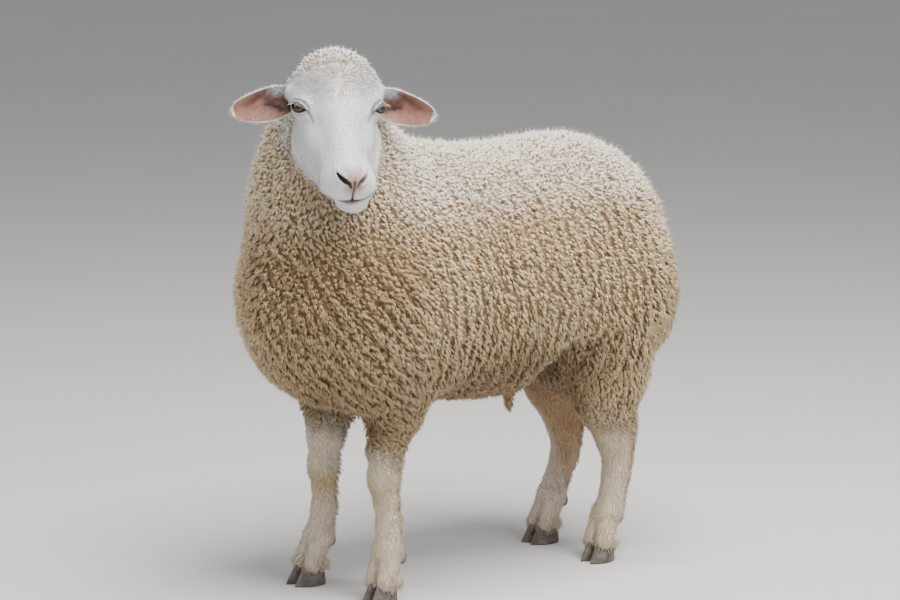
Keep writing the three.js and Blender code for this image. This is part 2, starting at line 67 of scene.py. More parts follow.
# ---------------------------------------------------------------- driving dimensions, in millimetres
BACK_HEIGHT = 757
BELLY_HEIGHT = 313
CHEST_FRONT = -404
RUMP_END = 405
TRUNK_WIDTH = 430
STANCE = 93
HIND_STANCE = 87
KNEE_HEIGHT = 207
HOCK_HEIGHT = 250
FETLOCK_HEIGHT = 88
CORONET_HEIGHT = 34
HEAD_CENTRE = (117, -340, 859)
HEAD_TURN, HEAD_TILT, NOSE_DROP = 65, 2, 44  # degrees
MUZZLE_REACH = 163
EYE_OFFSET = 61
EYE_RADIUS = 14
EAR_LENGTH, EAR_WIDTH, EAR_THICK = 124, 58, 3.4
DIGIT_SPREAD = 15.5
TOE_OUT, CLAW_SPLAY = 7, 4  # degrees
CLAW = {"length": 62, "width": 27, "toe_back": 20, "heel_forward": 3, "heel_height": 20}
DEWCLAW = (6.5, 7.5, 10)

FLEECE_DEPTH = 12  # skin to the tips of the locks on the trunk
POLL_DEPTH = 8  # the same on the top of the head and the cheeks
HAIR_DEPTH = 1.0  # the same where the hair is short


# ---------------------------------------------------------------- small helpers
def hex_colour(code):
    """An sRGB hex colour as linear RGB."""
    s = np.array([int(code[i : i + 2], 16) for i in (0, 2, 4)]) / 255
    return np.where(s <= 0.04045, s / 12.92, ((s + 0.055) / 1.055) ** 2.4)


def turn(axis, degrees):
    c, s = np.cos(np.radians(degrees)), np.sin(np.radians(degrees))
    rows = {"x": ((1, 0, 0), (0, c, -s), (0, s, c)), "y": ((c, 0, s), (0, 1, 0), (-s, 0, c)), "z": ((c, -s, 0), (s, c, 0), (0, 0, 1))}
    return np.array(rows[axis], np.float32)


def ramp(x, low, high):
    """0 below low, 1 above high, and smooth between them."""
    t = np.clip((x - low) / (high - low), 0, 1)
    return t * t * (3 - 2 * t)


def unit(v):
    return v / np.maximum(np.linalg.norm(v, axis=-1, keepdims=True), 1e-9)


# ---------------------------------------------------------------- rounded masses as distance fields
def ellipsoid(centre, radii):
    centre, radii = np.array(centre, np.float32), np.array(radii, np.float32)

    def field(p):
        q = p - centre
        near = np.linalg.norm(q / radii, axis=-1)
        steep = np.linalg.norm(q / radii**2, axis=-1)
        return near * (near - 1) / np.maximum(steep, 1e-6)

    return field


def limb(start, start_radius, end, end_radius):
    start, end = np.array(start, np.float32), np.array(end, np.float32)
    along = end - start

    def field(p):
        q = p - start
        t = np.clip(q @ along / (along @ along), 0, 1)
        return np.linalg.norm(q - t[..., None] * along, axis=-1) - (start_radius + (end_radius - start_radius) * t)

    return field


def chain(stations):
    return [limb(a[:3], a[3], b[:3], b[3]) for a, b in zip(stations, stations[1:])]


def mirrored(centre, radii):
    x, y, z = centre
    return [ellipsoid((side * x, y, z), radii) for side in (1, -1)]


def mirrored_limb(start, start_radius, end, end_radius):
    def flip(p, side):
        return (side * p[0], p[1], p[2])

    return [limb(flip(start, side), start_radius, flip(end, side), end_radius) for side in (1, -1)]


def melt(a, b, reach):
    h = np.maximum(reach - np.abs(a - b), 0) / reach
    return np.minimum(a, b) - h * h * reach / 4


def blended(masses, reach):
    def field(p):
        d = masses[0](p)
        for mass in masses[1:]:
            d = melt(d, mass(p), reach)
        return d

    return field


def near_line(p, points):
    """Distance from p to a line through a row of points."""
    lines = [limb(a, 0, b, 0)(p) for a, b in zip(points, points[1:])]
    return np.minimum.reduce(lines)


# ---------------------------------------------------------------- head, in its own frame
# Origin between the eyes, -Y along the face to the nose, +Z out of the forehead.
HEAD_AXES = turn("z", HEAD_TURN) @ turn("y", HEAD_TILT) @ turn("x", NOSE_DROP)


def to_head(p):
    return (p - np.array(HEAD_CENTRE, np.float32)) @ HEAD_AXES


def from_head(p):
    return np.array(p, np.float32) @ HEAD_AXES.T + np.array(HEAD_CENTRE, np.float32)


NOSE_Y = -MUZZLE_REACH
cranium = [
    ellipsoid((0, 44, -6), (62, 54, 43)),  # braincase
    *mirrored((55, 34, -9), (29, 26, 26)),  # roots of the ears
    ellipsoid((0, 44, -50), (50, 45, 46)),  # throat
    ellipsoid((0, 47, 17), (59, 51, 37)),  # wool of the poll
]
face = [
    ellipsoid((0, 6, 2), (55, 64, 33)),  # forehead
    *mirrored((EYE_OFFSET - 1, -7, 0), (16, 22, 17)),  # orbits
    *mirrored((38, -16, -42), (27, 66, 42)),  # cheeks
    *mirrored((33, 24, -58), (22, 38, 32)),  # jaw angles
    limb((0, -10, 8), 30, (0, NOSE_Y + 32, -7), 20),  # nasal bridge
    ellipsoid((0, -60, -24), (45, 82, 38)),  # upper jaw
    # the muzzle rolls a little to the left, more and more towards the chin
    ellipsoid((4, NOSE_Y + 35, -29), (41, 33, 31)),  # muzzle
    ellipsoid((7, NOSE_Y + 15, -13), (20, 15, 18)),  # nose pad
    ellipsoid((30, NOSE_Y + 22, -39), (22, 20, 22)),  # left upper lip
    ellipsoid((-13, NOSE_Y + 22, -38), (21, 20, 22)),  # right upper lip
    limb((40, -14, -64), 25, (35, NOSE_Y + 48, -65), 20),  # left branch of the lower jaw
    limb((-40, -14, -64), 25, (-17, NOSE_Y + 48, -64), 20),  # right branch
    ellipsoid((18, NOSE_Y + 18, -76), (26, 20, 18)),  # chin
]
skull = blended(cranium + face, 21)
nape = blended(cranium, 21)


class Eye:
    """An eyeball's place and its own axes: Z along the gaze and Y towards the brow."""

    def __init__(self, side):
        self.side = side
        self.nasal = -side  # the way along X that leads to the nose
        self.centre = np.array((side * EYE_OFFSET, -10, 2), np.float32)
        out = unit(np.array((side * 0.72, -0.5, 0.48), np.float32))
        across = unit(np.cross((0, 0.8, 0.6), out))
        self.axes = np.stack([across, np.cross(out, across), out], axis=1).astype(np.float32)

    def local(self, head_point):
        return (head_point - self.centre) @ self.axes


EYES = [Eye(1), Eye(-1)]
LID_HALF_WIDTH = 14.0
UPPER_LID, LOWER_LID = 6.8, 7.0  # how far each lid bows away from the line between the corners
LID_CENTRE = (1.0, 1.4)
LID_SLANT = 0.38  # the inner corner lies lower, radians
LID_THICK = 2.6


def lid_frame(q, nasal):
    """Towards the inner corner and towards the brow, from the middle of the opening."""
    u, v = nasal * q[..., 0] - LID_CENTRE[0], q[..., 1] - LID_CENTRE[1]
    c, s = np.cos(LID_SLANT), np.sin(LID_SLANT)
    return u * c - v * s, u * s + v * c


def lid_bow(height):
    return (LID_HALF_WIDTH**2 + height**2) / (2 * height)


def almond_distance(q, nasal):
    """How far a point is outside the opening between the lids, in an eye's own axes."""
    a, b = lid_frame(q, nasal)
    upper = np.hypot(a, b - UPPER_LID + lid_bow(UPPER_LID)) - lid_bow(UPPER_LID)
    lower = np.hypot(a, b + LOWER_LID - lid_bow(LOWER_LID)) - lid_bow(LOWER_LID)
    return np.maximum(upper, lower)


def add_lids(h, d):
    """Rounds the skin over each eyeball and opens it between two lids."""
    for eye in EYES:
        q = eye.local(h)
        near = np.linalg.norm(q, axis=-1)
        d = melt(d, near - EYE_RADIUS - LID_THICK, 7)
        almond = almond_distance(q, eye.nasal)
        above = ramp(lid_frame(q, eye.nasal)[1], -1, 4)
        front = ramp(q[..., 2], 2, 7)
        d = d - 1.1 * np.exp(-(((almond - 2.2) / 1.6) ** 2)) * front * above
        d = d + 1.8 * np.exp(-(((almond - 5.6) / 1.3) ** 2)) * front * above
        d = d + 0.8 * np.exp(-(((almond - 5.0) / 1.3) ** 2)) * front * (1 - above)
        opened = np.minimum(-almond, q[..., 2])
        reach = 1.8
        both = np.maximum(reach - np.abs(d - opened), 0) / reach
        d = np.maximum(d, opened) + both * both * reach / 4
        d = np.maximum(d, EYE_RADIUS + 0.2 - near)
    return d


def muzzle_centre(z):
    """The midline of the muzzle, which drifts to the left towards the chin."""
    return np.interp(-z, (-3, 8, 34, 49, 60), (8.2, 9.0, 10.3, 12.2, 13.5))


# a comma: narrow above, full where it turns in towards the middle, and drawn out below; the last number is its radius
NOSTRIL = ((26, -137, 0, 1.3), (25, -146, -1, 2.0), (20.5, -153.5, -2, 3.2), (15, -158.5, -3.5, 3.6), (9, -163, -5, 2.2), (5.5, -166, -12, 0.8))
MOUTH_HEIGHT = ((0, -54.5), (10, -54), (18, -53), (26, -48.5), (34, -43), (48, -44))
MOUTH_SLANT = 0.2


def nostril_distance(h):
    q = h.copy()
    q[..., 0] = np.abs(q[..., 0] - muzzle_centre(q[..., 2]))
    return np.minimum.reduce([tube(q) for tube in chain(NOSTRIL)])


def mouth_distance(h):
    """Distance from the line between the lips, and how near the middle of it a point is."""
    x = h[..., 0] - muzzle_centre(h[..., 2])
    height = np.interp(np.abs(x), *zip(*MOUTH_HEIGHT)) + MOUTH_SLANT * np.clip(x, -25, 25) - 0.10 * np.clip(h[..., 1] + 150, 0, 60)
    return np.abs(h[..., 2] - height) + 30 * ramp(h[..., 1], -118, -96), np.exp(-((x / 19) ** 2))


def philtrum_distance(h):
    x = np.abs(h[..., 0] - muzzle_centre(h[..., 2]))
    outside = np.maximum(h[..., 2] + 2, -54 - h[..., 2])
    return x + np.maximum(outside, 0) + 30 * ramp(h[..., 1], -150, -140)


def tear_distance(h):
    q = h.copy()
    q[..., 0] = np.abs(q[..., 0])
    return near_line(q, ((57, -22, 12), (51, -31, 7), (47, -40, 2)))


def face_details(h, d):
    """Nostrils, lips, tear grooves and the soft modelling of the bones under the skin."""
    nostril = nostril_distance(h)
    d = d + 9.5 * ramp(-nostril, -1.6, 1.4) - 1.5 * np.exp(-(((nostril - 4.0) / 2.4) ** 2)) * ramp(-h[..., 1], 120, 140)
    gap, middle = mouth_distance(h)
    d = d + (3.2 + 2.2 * middle) * np.exp(-((gap / (1.4 + 1.0 * middle)) ** 2))
    d = d - 1.2 * np.exp(-(((gap - 6.5) / 3.2) ** 2)) * (0.4 + 0.6 * middle)
    d = d + 3.4 * np.exp(-((philtrum_distance(h) / 1.5) ** 2))
    d = d + 2.8 * np.exp(-((tear_distance(h) / 2.0) ** 2))
    q = h.copy()
    q[..., 0] = np.abs(q[..., 0])
    crest = near_line(q, ((50, -30, -20), (40, -80, -30)))
    hollow = near_line(q, ((40, -45, 6), (28, -95, 0)))
    d = d - 1.0 * np.exp(-((crest / 10) ** 2)) + 0.7 * np.exp(-((hollow / 12) ** 2))
    return d


# ---------------------------------------------------------------- ears, in the head's frame
def ear_axes(side):
    laid_back, droop = (3, 20) if side > 0 else (14, 8)
    return turn("z", side * -droop) @ turn("y", side * laid_back) @ turn("x", 42)


EAR_AXES = {side: ear_axes(side) for side in (1, -1)}


def ear_point(h, side):
    """Where a point is on an ear: along it (0 root, 1 tip), across it (-1 to 1) and off its middle surface."""
    q = (h - np.array((side * 50, 33, -13), np.float32)) @ EAR_AXES[side]
    s = side * q[..., 0] / EAR_LENGTH
    chord = 0.5 + 0.5 * np.sin(np.pi * np.clip(s / 0.42, 0, 1) - np.pi / 2)
    full = np.where(s < 0.42, 30 + (EAR_WIDTH - 30) * chord, EAR_WIDTH)
    taper = np.sqrt(np.clip(1 - (np.clip(s - 0.42, 0, 1) / 0.585) ** 2, 0.004, 1))
    half = np.maximum(full * taper, 4) / 2
    cup = 17 - 14 * np.clip(s / 0.8, 0, 1)
    bow = -6 * np.sin(np.pi * np.clip(s, 0, 1))
    t = (q[..., 1] - 0.6 * bow) / half
    tc = np.clip(t, -1, 1)
    off = q[..., 2] - (bow - cup * (1 - tc * tc))
    steep = np.sqrt(1 + (2 * cup * tc / half) ** 2)
    return s, t, off / steep, half


def ear_field(h, side):
    s, t, off, half = ear_point(h, side)
    veins = 0.25 * np.cos(7 * t + 3 * s)
    sheet = np.abs(off) - EAR_THICK / 2 + veins * 0.3
    edge = np.maximum((np.abs(t) - 1) * half, (s - 1) * EAR_LENGTH)
    edge = np.maximum(edge, -s * EAR_LENGTH)
    reach = 2.5
    both = np.maximum(reach - np.abs(sheet - edge), 0) / reach
    return np.maximum(sheet, edge) + both * both * reach / 4


# ---------------------------------------------------------------- trunk, neck, legs and tail
TRUNK_MIDDLE = (BACK_HEIGHT + BELLY_HEIGHT) / 2
TRUNK_DEPTH = (BACK_HEIGHT - BELLY_HEIGHT) / 2

barrel = blended(
    [
        ellipsoid((0, 40, TRUNK_MIDDLE), (TRUNK_WIDTH / 2, 360, TRUNK_DEPTH)),  # ribs and belly
        ellipsoid((0, -165, BACK_HEIGHT - 158), (140, 200, 176)),  # withers
        *mirrored((98, -215, 515), (112, 142, 182)),  # shoulders
        ellipsoid((0, CHEST_FRONT + 152, 478), (158, 152, 143)),  # brisket
        ellipsoid((0, RUMP_END - 176, BACK_HEIGHT - 178), (184, 180, 178)),  # rump
    ],
    70,
)
haunches = blended(mirrored((100, RUMP_END - 160, 490), (112, 140, 150)), 30)

# the hollow between the thighs and under the fold of each flank
groin = blended([ellipsoid((0, 225, 305), (100, 80, 88)), *mirrored((135, 145, 352), (80, 62, 78))], 30)


def trunk(p):
    return -melt(-melt(barrel(p), haunches(p), 40), groin(p), 30)


neck = blended(chain([(0, -235, 560, 166), (4, -268, 690, 129), (20, -287, 799, 101)]), 60)

FEET = {
    "foreleg_left": (STANCE, -239, True),
    "foreleg_right": (-STANCE, -258, True),
    "hindleg_left": (HIND_STANCE, 252, False),
    "hindleg_right": (-HIND_STANCE, 263, False),
}
HOCK_SET_BACK = {"hindleg_right": 16}  # this hock is held further back


def leg_stations(x, y, fore):
    if fore:
        return [
            (x * 1.0, y + 46, 420, 64),
            (x * 0.84, y + 42, 325, 50),
            (x * 0.8, y + 27, 262, 30),
            (x * 0.79, y + 24, KNEE_HEIGHT, 24),
            (x * 0.82, y + 26, KNEE_HEIGHT - 36, 20),
            (x * 0.86, y + 28, 135, 20),
            (x * 0.93, y + 24, FETLOCK_HEIGHT, 26),
        ]
    return [
        (x * 1.2, y - 14, 425, 86),
        (x * 1.08, y + 10, 345, 72),
        (x, y + 16, 290, 54),
        (x, y + 32, HOCK_HEIGHT - 6, 39),
        (x, y + 38, HOCK_HEIGHT - 38, 31),
        (x, y + 43, HOCK_HEIGHT - 66, 25),
        (x, y + 40, 155, 23),
        (x, y + 27, FETLOCK_HEIGHT, 26),
    ]


def digits(x, y):
    bulbs = [ellipsoid((x + side * DIGIT_SPREAD, y + 20, 36), (13, 14, 15)) for side in (1, -1)]
    toes = []
    for side in (1, -1):
        top = (x * 0.94 + side * 10, y + 20, FETLOCK_HEIGHT - 6)
        toes.append(limb(top, 19.5, (x + side * DIGIT_SPREAD, y + 1, 36), 16.5))
    return toes + bulbs


def leg_field(x, y, fore, lean):
    stations = [(u, v + lean * ramp(z, 88, 170), z, radius) for u, v, z, radius in leg_stations(x, y, fore)]
    masses = chain(stations)
    if fore:
        masses.append(ellipsoid((x * 0.79, y + 11, KNEE_HEIGHT + 5), (19, 15, 30)))  # kneecap
    else:
        masses.append(limb((x, y + 66 + lean, HOCK_HEIGHT + 22), 13, (x, y + 57 + lean, HOCK_HEIGHT - 42), 16))  # hock point
    return blended([*masses, blended(digits(x, y), 5)], 12)


legs = {name: leg_field(*foot, HOCK_SET_BACK.get(name, 0)) for name, foot in FEET.items()}
tail = blended(
    chain(
        [
            (0, RUMP_END - 70, 640, 52),
            (0, RUMP_END - 14, 560, 44),
            (0, RUMP_END + 2, 450, 36),
            (0, RUMP_END - 2, 345, 28),
            (0, RUMP_END - 4, 312, 20),
        ]
    ),
    20,
)
sheath = limb((0, 118, 335), 12, (0, 116, 281), 7.5)


# ---------------------------------------------------------------- where the wool grows, and how deep
FLANK_FOLD, CHEST_FOLD = 23, 19  # millimetres from fold to fold


def mottled(p, size):
    """Smooth blotches between -1 and 1, about size millimetres across."""
    x, y, z = (p[..., i] / size for i in range(3))
    wave_a = np.sin(x * 2.1 + 1.3 * np.sin(y * 1.7 + z)) * np.cos(z * 1.9 + 0.7 * np.sin(x * 1.3))
    wave_b = np.sin(y * 2.7 + 1.1 * np.sin(z * 2.3 + x * 0.7) + 2) * np.cos(x * 2.3 - z * 1.1)
    return 0.6 * wave_a + 0.4 * wave_b


FOREHEAD_LINE = ((-100, -40), (-80, -20), (-45, 6), (-10, 38), (20, 47), (45, 45))  # (height, how far back)


def face_wool(h):
    """0 on the bare face, 1 on the poll, the cheeks behind the eyes and the throat."""
    edge = np.interp(h[..., 2], *zip(*FOREHEAD_LINE))
    rim = 3 * np.sin(h[..., 0] * 0.23) + 2 * np.sin(h[..., 0] * 0.51 + 1)
    return ramp(h[..., 1] - edge + rim, -9, 14)


def leg_wool(p):
    """0 below the knee and hock, 1 above. On the left legs the wool reaches lower behind than in front."""
    fore = p[..., 1] < 0
    left = p[..., 0] > 0
    edge = np.where(fore, np.where(left, 243, 272), np.where(left, 240, 292))
    behind = np.where(fore, 0.5 * np.clip(p[..., 1] + 215, -25, 30), 0.25 * np.clip(p[..., 1] - 280, -30, 30))
    ragged = 7 * np.sin(p[..., 0] * 0.3) * np.sin(p[..., 1] * 0.27)
    return ramp(p[..., 2] - edge + behind + ragged, -26, 44)


def wool(p, h=None):
    h = to_head(p) if h is None else h
    ear = np.minimum(ear_field(h, 1), ear_field(h, -1))
    on_head = ramp(-skull(h), -30, -4)
    woolly = 1 - on_head * (1 - face_wool(h))
    return woolly * leg_wool(p) * ramp(ear, 1.5, 9)


def coat_depth(p, h):
    """How far the skin lies under the tips of the coat."""
    on_head = ramp(-skull(h), -40, -8)
    deep = FLEECE_DEPTH + (POLL_DEPTH - FLEECE_DEPTH) * on_head
    deep = np.minimum(deep, 4 + 8 * ramp(p[..., 2], 245, 420))
    woolly = (1 - on_head * (1 - face_wool(h))) * leg_wool(p)
    return HAIR_DEPTH + (deep - HAIR_DEPTH) * woolly


def chest_part(p):
    """1 where the chest's slanting folds lie, 0 where the flank's upright ones take over."""
    return ramp(-p[..., 1] - 0.35 * np.abs(p[..., 0]), 105, 185)


def fleece_folds(p):
    """The folds of the fleece, upright on the flank and slanting on the chest: how far across the row of them a
    point is, in radians, and how high they are there, in millimetres."""
    wide, back, high = np.abs(p[..., 0]), p[..., 1], p[..., 2]
    chest = chest_part(p)
    wander = 7 * mottled(p, 75) + 3.5 * mottled(p, 27)
    upright = (back + 0.12 * high + wander) / FLANK_FOLD
    slanting = (0.66 * wide + 0.36 * back + 0.52 * high + wander) / CHEST_FOLD
    phase = np.where(chest > 0.5, slanting, upright) * 2 * np.pi
    flank_height = 8.5 * ramp(wide, 80, 140) * ramp(high, 330, 400) * ramp(-high, -720, -620) * ramp(-back, -330, -250)
    chest_height = 8.0 * ramp(high, 300, 360) * ramp(-high, -690, -560) * (0.3 + 0.7 * ramp(p[..., 0], -70, 0))
    height = np.where(chest > 0.5, chest_height, flank_height) * np.abs(2 * chest - 1) ** 0.5
    return phase, height * (0.72 + 0.28 * mottled(p, 50))


def torso(p):
    d = melt(trunk(p), neck(p), 70)
    for leg in legs.values():
        d = melt(d, leg(p), 26)
    return d


# ---------------------------------------------------------------- meshing a field
def mesh_of(field, low, high, step, place):
    """The closed surface of a field between two corners, as points and quads.
    place turns the field's own coordinates into metres in the part's frame."""
    block = 4
    low = np.array(low, np.float32)
    blocks = np.ceil((np.array(high) - low) / (step * block)).astype(int)

    def lattice(index, spacing):
        return low + index.astype(np.float32) * spacing

    corners = np.stack(np.meshgrid(*[np.arange(n + 1) for n in blocks], indexing="ij"), axis=-1)
    coarse = field(lattice(corners, step * block)).astype(np.float32)
    reach = step * block * 1.75
    cells = [coarse[i : i + blocks[0], j : j + blocks[1], k : k + blocks[2]] for i in (0, 1) for j in (0, 1) for k in (0, 1)]
    close = np.minimum.reduce([np.abs(c) for c in cells]) < reach
    values = np.repeat(np.repeat(np.repeat(np.clip(cells[0], -reach, reach), block, 0), block, 1), block, 2)
    inner = np.stack(np.meshgrid(*[np.arange(block)] * 3, indexing="ij"), axis=-1)
    chosen = np.argwhere(close)
    index = chosen[:, None, None, None, :] * block + inner
    values[tuple(index.reshape(-1, 3).T)] = field(lattice(index.reshape(-1, 3), step))
    grid = vdb.FloatGrid(float(reach))
    grid.copyFromArray(values)
    points, quads = grid.convertToQuads(0.0)
    return place(low + points * step), quads


def new_mesh(name, points, faces):
    mesh = bpy.data.meshes.new(name)
    mesh.from_pydata(np.asarray(points).tolist(), [], np.asarray(faces).tolist() if not isinstance(faces, list) else faces)
    mesh.update()
    return mesh


def new_object(name, mesh):
    made = bpy.data.objects.new(name, mesh)
    bpy.context.scene.collection.objects.link(made)
    return made


def numbers(mesh, name, values, kind="FLOAT", domain="POINT"):
    """Stores one value, vector or colour for each point of a mesh."""
    key = {"FLOAT": "value", "FLOAT_VECTOR": "vector", "FLOAT_COLOR": "color", "FLOAT2": "vector"}[kind]
    layer = mesh.attributes.new(name, kind, domain)
    values = np.asarray(values, np.float32)
    if kind == "FLOAT_COLOR" and values.shape[-1] == 3:
        values = np.concatenate([values, np.ones((len(values), 1), np.float32)], axis=1)
    layer.data.foreach_set(key, np.ascontiguousarray(values).ravel())


def points_of(mesh):
    co = np.empty(len(mesh.vertices) * 3, np.float32)
    mesh.vertices.foreach_get("co", co)
    return co.reshape(-1, 3)


def normals_of(mesh):
    no = np.empty(len(mesh.vertices) * 3, np.float32)
    mesh.vertices.foreach_get("normal", no)
    return no.reshape(-1, 3)


# The masses are placed in the part's frame by the middle of the left eyeball.
low_corner, high_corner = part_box("eye_left")
BODY_ORIGIN = (np.array(low_corner) + np.array(high_corner)) / 2 - from_head((EYE_OFFSET, -10, 2)) / 1000
BODY_ORIGIN[2] = 0


def placed(p):
    return p / 1000 + BODY_ORIGIN


def body_millimetres(metres):
    return ((metres - BODY_ORIGIN) * 1000).astype(np.float32)


# The head is meshed apart from the body, beyond two planes: behind the poll and under the jaw.
HEAD_PLANES = (((0, 60, 0), (0, -1, 0.1)), ((0, 20, -88), (0, 0.06, 1)))
SEAM = 5  # how far the two meshes run into each other before they are joined


def beyond_head(h):
    """Negative inside the head's own block of space."""
    sides = [-((h - np.array(point, np.float32)) @ unit(np.array(way, np.float32))) for point, way in HEAD_PLANES]
    return np.maximum(*sides)


def head_skin(h):
    p = from_head_points(h)
    d = skull(h)
    d = melt(torso(p), d, 14) + coat_depth(p, h)
    d = face_details(h, d)
    for side in (1, -1):
        d = melt(d, ear_field(h, side), 9)
    d = add_lids(h, d)
    return np.maximum(d, beyond_head(h) - SEAM)


def from_head_points(h):
    return h @ HEAD_AXES.T + np.array(HEAD_CENTRE, np.float32)


def body_skin(p):
    h = to_head(p)
    d = melt(torso(p), nape(h), 14) + coat_depth(p, h)
    d = melt(d, tail(p) + 12, 8)
    d = melt(d, sheath(p), 6)
    d = np.maximum(d, -beyond_head(h))
    by_sheath = (np.abs(p[..., 0]) < 40) & (np.abs(p[..., 1] - 118) < 40)
    return np.maximum(d, np.where(by_sheath, 258, 296) - p[..., 2])


def leg_skin(name):
    def field(p):
        d = legs[name](p)
        d = melt(melt(trunk(p), neck(p), 70), d, 26) + coat_depth(p, to_head(p))
        return np.maximum(d, p[..., 2] - 302)

    return field


BODY_STEP, LEG_STEP, HEAD_STEP = 8.0, 2.8, 1.5
SKIN_TRIANGLES = 195000


def fused(objects):
    """One closed object made of several that run into each other."""
    first, *others = objects
    for other in others:
        join = first.modifiers.new("fuse", "BOOLEAN")
        join.operation = "UNION"
        join.solver = "MANIFOLD"
        join.object = other
        bpy.context.view_layer.update()
        graph = bpy.context.evaluated_depsgraph_get()
        merged = bpy.data.meshes.new_from_object(first.evaluated_get(graph))
        first.modifiers.clear()
        first.data = merged
        bpy.data.objects.remove(other)
    return first


def triangles_in(mesh):
    return sum(len(face.vertices) - 2 for face in mesh.polygons)


def thinned(shape, most):
    """The same skin in fewer triangles: the plain parts get larger ones, and the eyes, muzzle and ears keep theirs."""
    count = triangles_in(shape.data)
    if count <= most:
        return shape
    h = to_head(body_millimetres(points_of(shape.data)))
    lines = [nostril_distance(h), mouth_distance(h)[0], philtrum_distance(h), tear_distance(h)]
    plain = np.minimum.reduce(lines) > 7
    for eye in EYES:
        plain &= np.linalg.norm(eye.local(h), axis=-1) > 29
        plain &= ear_field(h, eye.side) > 3
    group = shape.vertex_groups.new(name="plain")
    group.add(np.nonzero(plain)[0].tolist(), 1.0, "REPLACE")
    thin = shape.modifiers.new("thin", "DECIMATE")
    thin.ratio = most / count
    thin.vertex_group = group.name
    bpy.context.view_layer.update()
    lighter = bpy.data.meshes.new_from_object(shape.evaluated_get(bpy.context.evaluated_depsgraph_get()))
    shape.modifiers.clear()
    shape.vertex_groups.clear()
    shape.data = lighter
    return shape


def make_skin():
    parts = [new_object("skin", new_mesh("skin", *mesh_of(body_skin, (-240, -440, 250), (240, 470, 960), BODY_STEP, placed)))]
    for name, (x, y, fore) in FEET.items():
        low, high = (x - 75, y - 60, 12), (x + 75, y + 150, 320)
        parts.append(new_object(name, new_mesh(name, *mesh_of(leg_skin(name), low, high, LEG_STEP, placed))))
    shape = mesh_of(head_skin, (-190, -190, -130), (190, 110, 90), HEAD_STEP, lambda h: placed(from_head_points(h)))
    parts.append(new_object("head_skin", new_mesh("head_skin", *shape)))
    return thinned(fused(parts), SKIN_TRIANGLES)


skin = make_skin()
print("skin", triangles_in(skin.data), file=sys.stderr)

# ---------------------------------------------------------------- the maker's node helper
def node(tree, kind, inputs=None, **settings):
    """Adds a node to a tree, with its settings and what goes into its sockets, and gives back its outputs."""
    made = tree.nodes.new(kind)
    for key, value in settings.items():
        setattr(made, key, value)
    for key, value in (inputs or {}).items():
        socket = made.inputs[key]
        if isinstance(value, bpy.types.NodeSocket):
            tree.links.new(value, socket)
        else:
            socket.default_value = value
    return made.outputs


def colour(code):
    return (*hex_colour(code).tolist(), 1)


# ---------------------------------------------------------------- markings, shared by skin and coat
HUES = {
    "fleece": "e0c79f",
    # partly whiter wool, partly painted light on the top of the back
    "back_fleece_and_top_light": "fff4e1",
    # tan chest wool, darkened as painted shade
    "chest_fleece_and_shade": "ba9972",
    # the belly's tan wool, darkened as painted shade
    "belly_fleece_and_shade": "765a33",
    # tan wool low on the body, partly painted shade
    "low_fleece_tan_and_shade": "c9ad84",
    "breech_fleece": "a3835a",
    "poll_fleece": "fffcf5",
    "face": "d9d9da",
    "whorl": "a67f5b",
    "leg": "d0c2af",
    "knee": "a58c5c",
    # tan hair of the hind shanks, deepened as painted shade towards the groin
    "cannon_tan_and_groin_shade": "a1794f",
    "coronet": "c4b397",
    "nose": "976b65",
    # painted shade inside the nostrils
    "nostril": "1d0f0e",
    "lip": "7d5a56",
    # painted shade between the lips
    "lip_parting_shade": "43211f",
    "chin": "c9c2b7",
    "lid": "1f1816",
    # painted shade in the crease round each eye
    "lid_crease_shade": "51454a",
    "eye_socket": "a095a3",
    "tear": "2e2829",
    "ear_inside": "8a6154",
    # painted shade at the root of the inner ear, and the red-brown round its band
    "ear_shade_and_red_brown": "67402f",
    "ear_deep": "3f1a10",
    # painted shade in the hollow of the ear
    "ear_hollow_shade": "260d08",
    "ear_outside": "f1ebe2",
}


def around(p, centre, reach):
    return np.exp(-((np.linalg.norm((p - np.array(centre, np.float32)) / np.array(reach, np.float32), axis=-1)) ** 2))


